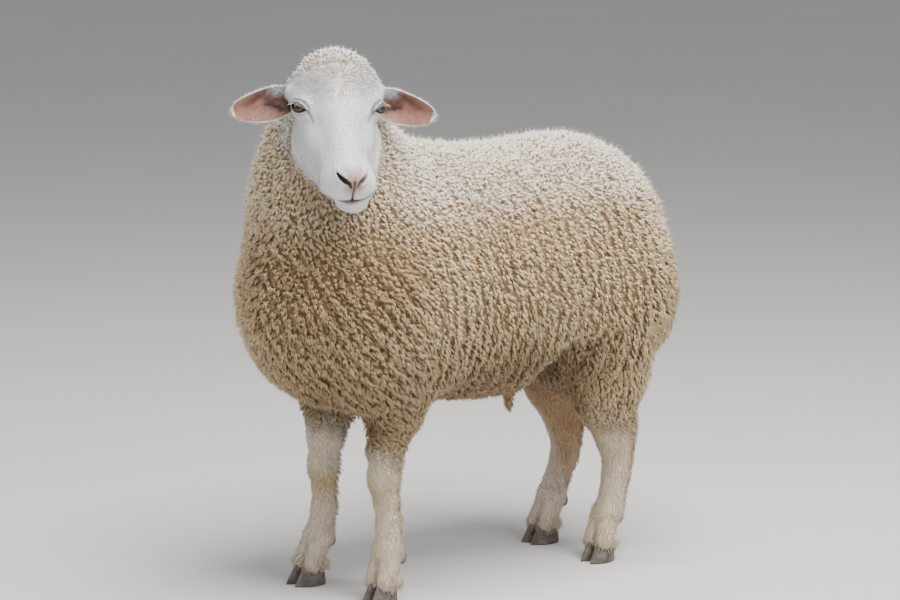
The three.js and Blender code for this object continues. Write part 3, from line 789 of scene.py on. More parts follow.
def markings(p, h):
    """The coat's colour, linear, for points in the body's frame and the head's. Light and shade are painted into it
    too: light on the top of the back, shade on the chest, lower body, belly, inner hind legs, inner ears, mouth,
    nostrils and the creases round the eyes.
    """
    x, y, z = p[..., 0], p[..., 1], p[..., 2]
    hue = np.zeros(p.shape) + hex_colour(HUES["fleece"])

    def lay(mask, name):
        nonlocal hue
        hue = hue + (hex_colour(HUES[name]) - hue) * np.clip(mask, 0, 1)[..., None]

    patches = mottled(p, 60)
    on_head = ramp(-skull(h), -30, -6)
    bare = on_head * (1 - face_wool(h))
    left_leg = np.where(y < 0, 1.0, 0.0)
    shank = 1 - leg_wool(p)
    # whiter wool on the top of the back, brightened further as painted light from above; less of it towards the front
    # of the neck
    lay(ramp(z + 30 * patches, 610, 735) * (1 - 0.8 * ramp(-y, 190, 300)), "back_fleece_and_top_light")
    # tan wool on the chest, darkened as painted shade on the front-facing chest, with less of it on the sheep's right
    # edge as painted rim light
    lay(0.9 * ramp(-y + 20 * patches, 170, 280) * ramp(-z, -700, -570) * (1 - 0.6 * ramp(-x, 30, 130)), "chest_fleece_and_shade")
    # tan wool low on the body, which is also painted shade darkening the lower flank and thighs towards the bottom
    lay(0.85 * ramp(-z + 25 * patches + 60 * ramp(y, 170, 260), -560, -400), "low_fleece_tan_and_shade")
    # painted shade under the belly, behind the forelegs and between the legs, laid over the belly's tan wool
    lay(0.5 * ramp(-z + 20 * patches, -470, -360) * (1 - 0.9 * ramp(y, 150, 240)), "belly_fleece_and_shade")
    lay(0.7 * ramp(-z + 20 * patches, -460, -350) * ramp(y, -170, -110) * ramp(-y, -230, -170), "belly_fleece_and_shade")
    inner = ramp(-np.abs(x), -118, -70)
    lay(0.95 * inner * ramp(-z + 20 * patches, -390, -325), "belly_fleece_and_shade")
    lay(0.85 * ramp(y + 20 * patches, 280, 370) * ramp(-z, -620, -500), "breech_fleece")
    lay(on_head * face_wool(h), "poll_fleece")
    lay(shank, "leg")
    fore_knees = shank * ramp(-y, 0, 20) * np.exp(-(((z - KNEE_HEIGHT + 22) / 24) ** 2)) * ramp(-(y + 222), -14, 12)
    lay(fore_knees * (0.85 + 0.15 * patches), "knee")
    # tan hair on the hind shanks; on their inner sides and up towards the groin it is deepened as painted shade
    inner_hind = shank * ramp(y, 0, 40) * ramp(-(np.abs(x) - HIND_STANCE), -14, 10)
    lay(0.9 * inner_hind * ramp(z, 110, 230), "cannon_tan_and_groin_shade")
    upper_hind = ramp(y, 0, 40) * ramp(z, 200, 290) * shank
    lay(0.85 * upper_hind, "cannon_tan_and_groin_shade")
    back_hind = shank * ramp(y, 0, 40) * ramp(y - 296, -6, 12)
    lay(0.6 * back_hind * ramp(z, 70, 120), "cannon_tan_and_groin_shade")
    lay(0.3 * shank * (0.5 + 0.5 * patches), "coronet")
    lay(0.55 * shank * ramp(x, 0, 40), "coronet")
    lay(0.3 * shank * ramp(-z, -72, -46), "coronet")
    lay(bare, "face")
    lay(0.5 * bare * ramp(-h[..., 2], 60, 82) * ramp(-h[..., 1], 90, 120), "chin")
    whorl_hair = np.exp(-(((h[..., 0] - 2) / 34) ** 2 + ((h[..., 1] - 24) / 24) ** 2)) * ramp(h[..., 2], 20, 34)
    lay(0.9 * bare * whorl_hair * (0.7 + 0.3 * mottled(h, 5)), "whorl")
    for side in (1, -1):
        s, t, off, half = ear_point(h, side)
        ear = ramp(-ear_field(h, side), -3.5, -1) * ramp(s, 0.02, 0.14)
        inside = ramp(off, -1.2, 1.0)
        lay(ear * (1 - inside), "ear_outside")
        rim = np.clip(ramp(np.abs(t), 0.88, 0.98) + ramp(s, 0.94, 0.99), 0, 1)
        lay(ear * inside * (1 - rim), "ear_inside")
        # painted shade over the root half of the inner ear
        lay(0.8 * ear * inside * ramp(-s, -0.62, -0.36) * ramp(t, -0.35, 0.05) * (1 - rim), "ear_shade_and_red_brown")
        veins = 0.8 + 0.2 * np.sin(9 * t + 14 * s + 2 * np.sin(11 * s))
        spot = np.stack([2.4 * s, t + 0.08 * mottled(h, 7), 0 * s], axis=-1)
        band = near_line(spot, ((1.03, 0.2, 0), (1.22, 0.6, 0), (1.5, 0.6, 0), (1.82, 0.42, 0)))
        # red-brown round the band across the inner ear, the ear's own colour
        lay(0.55 * ear * inside * np.exp(-((band / 0.42) ** 2)), "ear_shade_and_red_brown")
        lay(0.85 * ear * inside * np.exp(-((band / 0.2) ** 2)) * veins, "ear_deep")
        # painted shade: a dark crescent low at the root of the inner ear, and the hollow where the ear opens
        crescent = near_line(spot, ((0.8, -0.55, 0), (0.9, -0.27, 0), (1.08, -0.07, 0), (1.2, 0.0, 0)))
        lay(0.95 * ear * inside * np.exp(-((crescent / 0.13) ** 2)), "ear_hollow_shade")
        lay(ear * inside * ramp(-s, -0.3, -0.2) * ramp(-t, -0.2, 0.1), "ear_hollow_shade")
        lay(ear * inside * ramp(-s + 0.04 * mottled(h, 6), -0.52, -0.26) * ramp(t + 0.1 * mottled(h, 5), 0.1, 0.62), "face")
        lay(ear * inside * rim, "face")
    middle = muzzle_centre(h[..., 2])
    nose_pad = np.exp(-(((h[..., 0] - middle) / 17) ** 4) - ((h[..., 2] + 8) / 19) ** 4) * ramp(-h[..., 1], 132, 148)
    lay(0.95 * nose_pad * (0.9 + 0.1 * mottled(h, 6)), "nose")
    bloom = around(h, (9, -146, 5), (19, 18, 12))
    lay(0.3 * bloom, "nose")
    lay(0.75 * np.exp(-((philtrum_distance(h) / 3.2) ** 2)), "lip")
    # painted shade in the philtrum's groove
    lay(0.75 * np.exp(-((philtrum_distance(h) / 1.2) ** 2)), "lip_parting_shade")
    gap, centred = mouth_distance(h)
    lay(0.85 * np.exp(-((gap / (3.0 + 3.6 * centred)) ** 2)), "lip")
    # painted shade in the mouth line, thickest in the middle
    lay((0.55 + 0.45 * centred) * np.exp(-((gap / (1.7 + 1.7 * centred)) ** 2)), "lip_parting_shade")
    # painted shade: near-black inside each nostril's opening
    lay(ramp(-nostril_distance(h), -2.6, -0.2), "nostril")
    lay(np.exp(-((tear_distance(h) / 2.3) ** 2)), "tear")
    for eye in EYES:
        q = eye.local(h)
        rim = almond_distance(q, eye.nasal)
        front = ramp(q[..., 2], 1, 6)
        above = ramp(lid_frame(q, eye.nasal)[1], -1, 4)
        lay(0.6 * front * np.exp(-((rim / 8) ** 2)), "eye_socket")
        # painted shade in the crease round each eye, darker above it
        lay((0.35 + 0.55 * above) * front * np.exp(-(((rim - 5.2) / 1.5) ** 2)), "lid_crease_shade")
        lay(front * ramp(-rim, -2.9, -1.1), "lid")
    return hue * (1 + 0.05 * mottled(p, 17)[..., None])


# ---------------------------------------------------------------- how the coat lies
WHORL = (-2, 15, 48)


def lie_of(p, h, normal):
    """The way that the hair or wool points, along the surface."""
    z_up = normal[..., 2:3]
    down = np.zeros(p.shape, np.float32) + np.array((0, 0.14, -1), np.float32)
    back = np.zeros(p.shape, np.float32) + np.array((0, 0.5, -1), np.float32)
    lie = down + (back - down) * ramp(z_up, 0.86, 0.98)
    slanting = np.stack([0.52 * np.tanh(p[..., 0] / 30), 0.5 + 0 * p[..., 1], -1 + 0 * p[..., 2]], axis=-1)
    lie = lie + (slanting - lie) * (chest_part(p) * ramp(-p[..., 2], -690, -600))[..., None]
    under = np.zeros(p.shape, np.float32) + np.array((0, 0.7, -0.5), np.float32)
    lie = lie + (under - lie) * ramp(-z_up, 0.5, 0.9)
    radiate = unit(h - np.array(WHORL, np.float32))
    along = np.zeros(p.shape, np.float32) + np.array((0, -1, -0.2), np.float32)
    far = ramp(np.linalg.norm(h - np.array(WHORL, np.float32), axis=-1), 45, 95)[..., None]
    cheek = np.stack([0.3 * np.sign(h[..., 0]), -0.45 + 0 * h[..., 1], -1 + 0 * h[..., 2]], axis=-1)
    facing = radiate + (along - radiate) * far
    facing = facing + (cheek - facing) * (ramp(np.abs(h[..., 0]), 34, 52) * ramp(-h[..., 2], -4, 24))[..., None]
    for side in (1, -1):
        near = ramp(-ear_field(h, side), -4, -1)[..., None]
        outward = EAR_AXES[side][:, 0] * side
        facing = facing + (outward - facing) * near
    on_head = (ramp(-skull(h), -34, -6) + ramp(-np.minimum(ear_field(h, 1), ear_field(h, -1)), -4, -1)).clip(0, 1)[..., None]
    lie = lie + (facing @ HEAD_AXES.T - lie) * on_head
    lie = lie - normal * np.sum(lie * normal, axis=-1, keepdims=True)
    lie = unit(lie)
    ordered = 1 - 0.6 * np.clip(fleece_folds(p)[1] / 4, 0, 1)
    swing = (0.38 * mottled(p, 38) + 0.25 * mottled(p, 15))[..., None] * ((0.35 + 0.65 * wool(p, h)) * ordered)[..., None]
    return unit(lie * np.cos(swing) + np.cross(normal, lie) * np.sin(swing))


def lock_sizes(p, h):
    """Length of a lock and how far it stands off the skin, in millimetres."""
    y, z = p[..., 1], p[..., 2]
    reach = 12.5 + 8 * ramp(y, 170, 280) * ramp(-z, -560, -430) + 2.5 * chest_part(p) * ramp(-z, -600, -500)
    breech = ramp(y, 290, 360) * ramp(-z, -560, -450)
    reach = reach + 16 * breech
    reach = reach - 2 * ramp(z, 690, 740)
    on_head = ramp(-skull(h), -34, -6)
    reach = reach + (9 - reach) * on_head
    low = ramp(-z, -330, -250) * (y < 400)
    reach = reach + (11 - reach) * low
    sheath_hair = around(p, (0, 117, 300), (30, 30, 40))
    reach = reach + (9 - reach) * sheath_hair
    thin = 0.5 + 0.5 * ramp(wool(p, h), 0.1, 0.9)
    rise = coat_depth(p, h) + (2.5 + 3 * breech) * thin
    return reach * thin, rise + (3.2 - rise) * sheath_hair


# ---------------------------------------------------------------- finishes
def material(name):
    made = bpy.data.materials.new(name)
    made.use_nodes = True
    made.node_tree.nodes.clear()
    return made, made.node_tree


def close(tree, shader):
    node(tree, "ShaderNodeOutputMaterial", {"Surface": shader})


def stored(tree, name, output="Color"):
    """An attribute kept on the mesh."""
    return node(tree, "ShaderNodeAttribute", attribute_name=name)[output]


def blend_colours(tree, amount, one, other, kind="MIX"):
    made = tree.nodes.new("ShaderNodeMix")
    made.data_type = "RGBA"
    made.blend_type = kind
    for socket, value in ((made.inputs[0], amount), (made.inputs[6], one), (made.inputs[7], other)):
        if isinstance(value, bpy.types.NodeSocket):
            tree.links.new(value, socket)
        else:
            socket.default_value = value
    return made.outputs[2]


def between(tree, value, from_low, from_high, to_low, to_high):
    return node(tree, "ShaderNodeMapRange", {0: value, 1: from_low, 2: from_high, 3: to_low, 4: to_high})[0]


def curled_wool():
    """Grease-clean sheep's wool: dull, pale at the tips and browner where the locks part, partly the yellower wool near
    the roots and partly painted shade, with a soft halo from the fine fibres."""
    made, tree = material("curled_wool")
    place = node(tree, "ShaderNodeTexCoord")["Object"]
    along = stored(tree, "along", "Fac")
    tone = stored(tree, "tone", "Fac")
    # darker and browner towards the roots: partly the yellower wool near the skin, partly painted shade deep among the
    # locks
    depth = node(tree, "ShaderNodeMapRange", {0: along, 1: 0.0, 2: 0.5, 3: 0.0, 4: 1.0}, interpolation_type="SMOOTHSTEP")[0]
    # the folds are browner where they close, from 1 mm to 4.5 mm below the rest: painted shade in the valleys between
    # them
    valley = between(tree, stored(tree, "fold", "Fac"), -0.0005, -0.005, 0.0, 0.85)
    hue = blend_colours(tree, valley, stored(tree, "hue"), blend_colours(tree, 1.0, stored(tree, "hue"), colour("bb9a74"), "MULTIPLY"))
    root = blend_colours(tree, 1.0, hue, colour("f0e2c8"), "MULTIPLY")
    shaded = blend_colours(tree, depth, root, hue)
    lit = between(tree, tone, 0, 1, 0.91, 1.06)
    toned = blend_colours(tree, 1.0, shaded, node(tree, "ShaderNodeCombineColor", {0: lit, 1: lit, 2: lit})[0], "MULTIPLY")
    # crimp of about 1.5 mm along each lock
    crimp = node(tree, "ShaderNodeTexNoise", {"Vector": place, "Scale": 1 / 0.0015, "Detail": 2.0})[0]
    bump = node(tree, "ShaderNodeBump", {"Strength": 0.3, "Distance": 0.0006, "Height": crimp})[0]
    shader = node(
        tree,
        "ShaderNodeBsdfPrincipled",
        {"Base Color": toned, "Roughness": 0.95, "Sheen Weight": 0.3, "Sheen Roughness": 0.5, "Sheen Tint": colour("fff4e2"), "Subsurface Weight": 0.4, "Subsurface Radius": (1.0, 0.8, 0.55), "Subsurface Scale": 0.004, "Normal": bump},
    )[0]
    close(tree, shader)
    return made


def short_hair(name, shine):
    """Short flat white hair over living skin: smooth and slightly glossy, finely streaked the way it lies."""
    made, tree = material(name)
    # hairs 0.7 mm apart, drawn about twice as coarse as they grow so that they show
    comb = stored(tree, "comb", "Vector")
    streaks = node(tree, "ShaderNodeTexNoise", {"Vector": comb, "Scale": 1 / 1.4, "Detail": 3.0, "Roughness": 0.6})[0]
    soft = node(tree, "ShaderNodeTexNoise", {"Vector": comb, "Scale": 1 / 9, "Detail": 2.0})[0]
    shade = between(tree, streaks, 0.3, 0.7, 0.83, 1.06)
    broad = between(tree, soft, 0.3, 0.7, 0.95, 1.03)
    both = node(tree, "ShaderNodeMath", {0: shade, 1: broad}, operation="MULTIPLY")[0]
    hue = blend_colours(tree, 1.0, stored(tree, "hue"), node(tree, "ShaderNodeCombineColor", {0: both, 1: both, 2: both})[0], "MULTIPLY")
    bump = node(tree, "ShaderNodeBump", {"Strength": 0.55, "Distance": 0.0005, "Height": streaks})[0]
    wet = stored(tree, "wet", "Fac")
    rough = between(tree, wet, 0, 1, shine, 0.32)
    shader = node(
        tree,
        "ShaderNodeBsdfPrincipled",
        {"Base Color": hue, "Roughness": rough, "Sheen Weight": 0.05, "Sheen Roughness": 0.5, "Normal": bump},
    )[0]
    close(tree, shader)
    return made


def hoof_horn():
    """Worn hoof horn: dull grey-brown keratin with growth rings about 1.6 mm apart, upright fibres and dust."""
    made, tree = material("hoof_horn")
    place = node(tree, "ShaderNodeTexCoord")["Object"]
    stretched = node(tree, "ShaderNodeMapping", {"Vector": place, "Scale": (1, 1, 0.12)})[0]
    fibre = node(tree, "ShaderNodeTexNoise", {"Vector": stretched, "Scale": 1 / 0.0012, "Detail": 3.0})[0]
    rings = node(tree, "ShaderNodeTexWave", {"Vector": place, "Scale": 1 / 0.0016 / 6.28, "Distortion": 3.0, "Detail": 2.0, "Detail Scale": 2.0}, bands_direction="Z")[1]
    dust = node(tree, "ShaderNodeTexNoise", {"Vector": place, "Scale": 1 / 0.012, "Detail": 4.0})[0]
    base = blend_colours(tree, between(tree, fibre, 0.35, 0.65, 0, 1), colour("37322e"), colour("5c554f"))
    dusty = blend_colours(tree, between(tree, dust, 0.4, 0.7, 0.0, 0.5), base, colour("857b71"))
    height = node(tree, "ShaderNodeMath", {0: rings, 1: fibre}, operation="ADD")[0]
    bump = node(tree, "ShaderNodeBump", {"Strength": 0.5, "Distance": 0.0005, "Height": height})[0]
    shader = node(tree, "ShaderNodeBsdfPrincipled", {"Base Color": dusty, "Roughness": 0.62, "Normal": bump})[0]
    close(tree, shader)
    return made


def wet_eye():
    """A living eye: amber iris with radial fibres and a level slot of a pupil, under a clear wet cornea, with painted
    shade over the upper half.
    """
    made, tree = material("wet_eye")
    gaze = stored(tree, "gaze", "Vector")
    x, y, z = node(tree, "ShaderNodeSeparateXYZ", {0: gaze})[:3]

    def calc(operation, a, b=0.0):
        return node(tree, "ShaderNodeMath", {0: a, 1: b}, operation=operation)[0]

    out = calc("SQRT", calc("ADD", calc("MULTIPLY", x, x), calc("MULTIPLY", y, y)))
    turn_ = calc("ARCTAN2", y, x)
    spokes = node(tree, "ShaderNodeCombineXYZ", {0: calc("MULTIPLY", turn_, 7.0), 1: calc("MULTIPLY", out, 0.25)})[0]
    fibres = node(tree, "ShaderNodeTexNoise", {"Vector": spokes, "Scale": 1.6, "Detail": 3.0})[0]
    iris = blend_colours(tree, between(tree, fibres, 0.3, 0.7, 0, 1), colour("332b1b"), colour("5f5439"))
    # painted shade over the upper half of the iris, standing in for the shadow of the upper lid and its lashes
    iris = blend_colours(tree, between(tree, y, -3.2, 2.4, 0, 0.93), iris, colour("0d0a08"))
    iris = blend_colours(tree, between(tree, out, 3.8, 6.6, 0.7, 0), iris, colour("33291a"))
    iris = blend_colours(tree, between(tree, out, 7.6, 9.4, 0, 1), iris, colour("1f1812"))
    # the pupil is a rounded slot 12 mm by 6.4 mm
    slot_x = calc("MAXIMUM", calc("SUBTRACT", calc("ABSOLUTE", x), 2.8), 0.0)
    slot = calc("SQRT", calc("ADD", calc("MULTIPLY", slot_x, slot_x), calc("MULTIPLY", y, y)))
    iris = blend_colours(tree, between(tree, slot, 2.8, 3.6, 1, 0), iris, colour("0c0a09"))
    hue = blend_colours(tree, between(tree, out, 9.2, 10.4, 0, 1), iris, colour("3a2f29"))
    shader = node(
        tree,
        "ShaderNodeBsdfPrincipled",
        {"Base Color": hue, "Roughness": 0.35, "IOR": 1.38, "Coat Weight": 1.0, "Coat Roughness": 0.03, "Coat IOR": 1.38},
    )[0]
    close(tree, shader)
    return made


CURLED_WOOL = curled_wool()
FACE_HAIR = short_hair("short_face_hair", 0.62)
HOOF_HORN = hoof_horn()
WET_EYE = wet_eye()


# ---------------------------------------------------------------- locks and hairs, each in unit length
# A template stands on the skin at the origin, rises along Z and lies over towards +X.
rng = np.random.default_rng(20)


def strand(path, radii, sides=3):
    """A closed tapering tube along a path that ends in a point. Gives its points, faces and how far along each is."""
    count = len(path)
    ways = unit(np.gradient(path, axis=0))
    points, faces, along = [], [], []
    for k in range(count - 1):
        across = unit(np.cross((0.0, 1.0, 0.05), ways[k]))
        lift = np.cross(ways[k], across)
        for i in range(sides):
            a = 2 * np.pi * (i / sides + 0.17 * k)
            points.append(path[k] + radii[k] * (np.cos(a) * across + np.sin(a) * lift))
            along.append(k / (count - 1))
    for k in range(count - 2):
        for i in range(sides):
            j = (i + 1) % sides
            faces.append((k * sides + i, k * sides + j, (k + 1) * sides + j, (k + 1) * sides + i))
    points.append(path[-1])
    along.append(1.0)
    last = (count - 2) * sides
    faces += [(last + i, last + (i + 1) % sides, len(points) - 1) for i in range(sides)]
    faces.append(tuple(range(sides))[::-1])
    return points, faces, along


def template(name, strands):
    points, faces, along = [], [], []
    for p, f, a in strands:
        faces += [tuple(len(points) + i for i in face_) for face_ in f]
        points += p
        along += a
    mesh = new_mesh(name, np.array(points), faces)
    check = bmesh.new()
    check.from_mesh(mesh)
    bmesh.ops.recalc_face_normals(check, faces=check.faces)
    check.to_mesh(mesh)
    check.free()
    numbers(mesh, "along", along)
    span = np.array(points)
    low, high = span.min(0), span.max(0)
    flat = (span - low) / np.maximum(high - low, 1e-6)
    corners = np.empty(len(mesh.loops), np.int32)
    mesh.loops.foreach_get("vertex_index", corners)
    numbers(mesh, "patch", np.stack([np.array(along), 0.5 * flat[:, 1] + 0.5 * flat[:, 2]], axis=1)[corners], "FLOAT2", "CORNER")
    return bpy.data.objects.new(name, mesh)


def wool_lock(k):
    """Three curls wound round each other and drawn to a point, with a stray fibre on every other one."""
    strands = []
    phase = rng.uniform(0, 2 * np.pi)
    turns = rng.uniform(0.7, 1.25)
    lean = rng.uniform(-0.12, 0.12)
    for i in range(3):
        t = np.array((0, 0.52, 1.0))
        spread = 0.19 * np.sin(np.pi * (0.3 + 0.62 * t)) * rng.uniform(0.75, 1.25)
        angle = phase + 2 * np.pi * i / 3 + 2 * np.pi * turns * t
        spine = np.stack([0.12 * t + 0.85 * t**2, lean * t, 1.03 * np.sin(0.56 * np.pi * t)], axis=1)
        path = spine + np.stack([0.3 * spread * np.cos(angle), spread * np.cos(angle), 0.55 * spread * np.sin(angle)], axis=1)
        path *= (1, 1, rng.uniform(0.84, 1.03))
        strands.append(strand(path, (0.07, 0.088)))
    t = np.array((0, 0.6, 1.15))
    wild = rng.uniform(-0.3, 0.3)
    path = np.stack([0.42 * t**1.8, wild * t, 1.42 * t - 0.06 * t**2], axis=1)
    if k % 2:
        strands.append(strand(path, (0.04, 0.036)))
    return template(f"wool_lock_{k}", strands)


def short_blade(k):
    """One flat-lying hair, drawn several times as thick as it grows."""
    t = np.array((0, 0.5, 1.0))
    side = rng.uniform(-0.1, 0.1)
    path = np.stack([0.15 + 0.8 * t, side * t**2, 0.95 * np.sin(t * 2.2)], axis=1)
    path[0] = (0, 0, -0.5)
    return template(f"short_blade_{k}", [strand(path, (0.075, 0.06))])


def pattern_book(name, makers):
    shelf = bpy.data.collections.new(name)
    for made in makers:
        shelf.objects.link(made)
    return shelf


WOOL_LOCKS = pattern_book("wool_locks", [wool_lock(k) for k in range(8)])
SHORT_BLADES = pattern_book("short_blades", [short_blade(k) for k in range(4)])


# ---------------------------------------------------------------- the tree that grows the coat
def growing_tree():
    """Locks of a pattern book over a skin: rooted at random, turned the way the coat lies, sized by the skin's
    own numbers, swayed by a slow noise and made real."""
    tree = bpy.data.node_groups.new("coat_over_skin", "GeometryNodeTree")
    sockets = {}
    for name, kind in (
        ("Geometry", "Geometry"),
        ("Locks", "Collection"),
        ("Spacing", "Float"),
        ("Region", "Int"),
        ("Widest", "Float"),
        ("Sway", "Float"),
        ("Jitter", "Float"),
        ("Seed", "Int"),
        ("Finish", "Material"),
    ):
        sockets[name] = tree.interface.new_socket(name, in_out="INPUT", socket_type=f"NodeSocket{kind}").identifier
    tree.interface.new_socket("Geometry", in_out="OUTPUT", socket_type="NodeSocketGeometry")
    given = node(tree, "NodeGroupInput")

    def read(name, kind="FLOAT"):
        return node(tree, "GeometryNodeInputNamedAttribute", {"Name": name}, data_type=kind)[0]

    def calc(operation, a, b=0.0, c=0.0):
        return node(tree, "ShaderNodeMath", {0: a, 1: b, 2: c}, operation=operation)[0]

    def vector_calc(operation, a, b=(0, 0, 0), scale=None):
        inputs = {0: a, 1: b} if scale is None else {0: a, "Scale": scale}
        return node(tree, "ShaderNodeVectorMath", inputs, operation=operation)[0]

    def store(geometry, name, value, kind="FLOAT", domain="POINT"):
        return node(tree, "GeometryNodeStoreNamedAttribute", {"Geometry": geometry, "Name": name, "Value": value}, data_type=kind, domain=domain)[0]

    crowding = calc("DIVIDE", 3.2, calc("MULTIPLY", given["Spacing"], given["Spacing"]))
    rooted = node(
        tree,
        "GeometryNodeDistributePointsOnFaces",
        {"Mesh": given["Geometry"], "Distance Min": given["Spacing"], "Density Max": crowding, "Density Factor": read("density"), "Seed": given["Seed"]},
        distribute_method="POISSON",
    )
    other = node(tree, "FunctionNodeCompare", {2: read("region", "INT"), 3: given["Region"]}, data_type="INT", operation="NOT_EQUAL")[0]
    points = node(tree, "GeometryNodeDeleteGeometry", {"Geometry": store(rooted["Points"], "out", rooted["Normal"], "FLOAT_VECTOR"), "Selection": other}, domain="POINT")[0]
    tone = node(tree, "FunctionNodeRandomValue", {2: 0.0, 3: 1.0, "Seed": 5})[1]
    points = store(points, "tone", tone)
    # folds, and tufts about 12 mm across between them
    clump = node(tree, "ShaderNodeTexNoise", {"Vector": node(tree, "GeometryNodeInputPosition")[0], "Scale": 1 / 0.012, "Detail": 1.0})[0]
    clump = calc("MULTIPLY", calc("SUBTRACT", clump, 0.5), read("clump"))
    # each fold is rounded, with a narrow valley between it and the next
    arch = calc("ABSOLUTE", calc("SINE", calc("MULTIPLY", read("fold_phase"), 0.5)))
    arch = calc("SUBTRACT", calc("MULTIPLY", arch, 2.0), 1.0)
    fold = calc("ADD", calc("MULTIPLY", read("fold_height"), arch), clump)
    points = store(points, "fold", fold)
    lifted = vector_calc("SCALE", read("out", "FLOAT_VECTOR"), scale=fold)
    points = node(tree, "GeometryNodeSetPosition", {"Geometry": points, "Offset": lifted})[0]
    upright = node(tree, "FunctionNodeAxesToRotation", {0: read("out", "FLOAT_VECTOR"), 1: read("lie", "FLOAT_VECTOR")}, primary_axis="Z", secondary_axis="X")[0]
    nod = node(tree, "FunctionNodeRandomValue", {0: (-1, -1, -1.3), 1: (1, 1, 1.3), "Seed": 11}, data_type="FLOAT_VECTOR")[0]
    ruffled = node(tree, "ShaderNodeCombineXYZ", {0: 1.0, 1: 1.0, 2: calc("ADD", read("ruffle"), 1.0)})[0]
    nod = vector_calc("MULTIPLY", nod, ruffled)
    swing = node(tree, "FunctionNodeEulerToRotation", {0: vector_calc("SCALE", nod, scale=given["Jitter"])})[0]
    turned = node(tree, "FunctionNodeRotateRotation", {0: upright, 1: swing}, rotation_space="LOCAL")[0]
    grow = node(tree, "FunctionNodeRandomValue", {2: 0.78, 3: 1.18, "Seed": 23})[1]
    stand = node(tree, "FunctionNodeRandomValue", {2: 0.8, 3: 1.12, "Seed": 29})[1]
    reach = calc("MULTIPLY", read("reach"), grow)
    broad = calc("MINIMUM", reach, given["Widest"])
    size = node(tree, "ShaderNodeCombineXYZ", {0: reach, 1: broad, 2: calc("MULTIPLY", read("rise"), stand)})[0]
    book = node(tree, "GeometryNodeCollectionInfo", {0: given["Locks"], 1: True, 2: True})[0]
    pick = node(tree, "FunctionNodeRandomValue", {4: 0, 5: 7, "Seed": 31}, data_type="INT")[2]
    placed_ = node(
        tree,
        "GeometryNodeInstanceOnPoints",
        {"Points": points, "Instance": book, "Pick Instance": True, "Instance Index": pick, "Rotation": turned, "Scale": size},
    )[0]
    real = node(tree, "GeometryNodeRealizeInstances", {0: placed_})[0]
    here = node(tree, "GeometryNodeInputPosition")[0]
    # neighbouring locks lean together over about 16 mm, and each is crimped over about 4 mm
    breeze = node(tree, "ShaderNodeTexNoise", {"Vector": here, "Scale": 1 / 0.016, "Detail": 2.0, "Roughness": 0.75, "Lacunarity": 3.5})[1]
    lean = vector_calc("SUBTRACT", breeze, (0.5, 0.5, 0.5))
    lean = vector_calc("SCALE", lean, scale=calc("MULTIPLY", read("along"), given["Sway"]))
    swayed = node(tree, "GeometryNodeSetPosition", {"Geometry": real, "Offset": lean})[0]
    patch = vector_calc("SCALE", vector_calc("SUBTRACT", read("patch", "FLOAT_VECTOR"), (0.5, 0.5, 0)), scale=0.003)
    baked = store(swayed, "OFBake", vector_calc("ADD", read("unwrap", "FLOAT_VECTOR"), patch), "FLOAT2", "CORNER")
    for name in ("patch", "unwrap", "out", "lie", "reach", "rise", "density", "region", "ruffle", "fold_height", "fold_phase", "clump"):
        baked = node(tree, "GeometryNodeRemoveAttribute", {"Geometry": baked, "Name": name})[0]
    smooth = node(tree, "GeometryNodeSetShadeSmooth", {"Geometry": baked, "Shade Smooth": True})[0]
    done = node(tree, "GeometryNodeSetMaterial", {"Geometry": smooth, "Material": given["Finish"]})[0]
    node(tree, "NodeGroupOutput", {0: done})
    return tree, sockets


COAT_TREE, COAT_SOCKETS = growing_tree()
coat_pieces = []


def grow_coat(name, ground, slot, **sizes):
    """One piece of the coat, as a plain mesh, from a ground mesh that carries the skin's numbers."""
    piece = new_object(name, ground)
    grower = piece.modifiers.new("coat", "NODES")
    grower.node_group = COAT_TREE
    for key, value in sizes.items():
        grower[COAT_SOCKETS[key]] = value
    bpy.context.view_layer.update()
    made = bpy.data.meshes.new_from_object(piece.evaluated_get(bpy.context.evaluated_depsgraph_get()))
    piece.modifiers.clear()
    piece.data = made
    made.name = name
    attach(piece, "root")
    coat_pieces.append(piece)
    print("coat", name, sum(len(f.vertices) - 2 for f in made.polygons), file=sys.stderr)
    return piece


# ---------------------------------------------------------------- the skin's own numbers
skin_points = body_millimetres(points_of(skin.data))
skin_head = to_head(skin_points)
skin_normal = normals_of(skin.data)
skin_wool = wool(skin_points, skin_head)
on_ear = ramp(-np.minimum(ear_field(skin_head, 1), ear_field(skin_head, -1)), -3.5, -0.8)
on_skull = ramp(-skull(skin_head), -30, -6)


def comb_lines():
    """Millimetres squeezed seven times along the way that short hair lies, so that a noise read there comes out as
    streaks."""
    squeeze = 1 / 7
    lines = skin_points * (1, 1, squeeze)
    face_lines = skin_head * (1, squeeze, 1)
    lines = lines + (face_lines - lines) * on_skull[:, None]
    for side in (1, -1):
        near = ramp(-ear_field(skin_head, side), -3.5, -0.8)[:, None]
        ear_lines = (skin_head @ EAR_AXES[side]) * (squeeze, 1, 1)
        lines = lines + (ear_lines - lines) * near
    return lines


def wet_parts():
    middle = muzzle_centre(skin_head[:, 2])
    nose_pad = np.exp(-(((skin_head[:, 0] - middle) / 19) ** 4) - ((skin_head[:, 2] + 9) / 19) ** 4)
    wet = nose_pad * ramp(-skin_head[:, 1], 132, 148)
    wet = np.maximum(wet, np.exp(-((mouth_distance(skin_head)[0] / 2.8) ** 2)))
    for eye in EYES:
        q = eye.local(skin_head)
        wet = np.maximum(wet, ramp(-almond_distance(q, eye.nasal), -2.2, -0.6) * ramp(q[:, 2], 1, 6))
    return wet


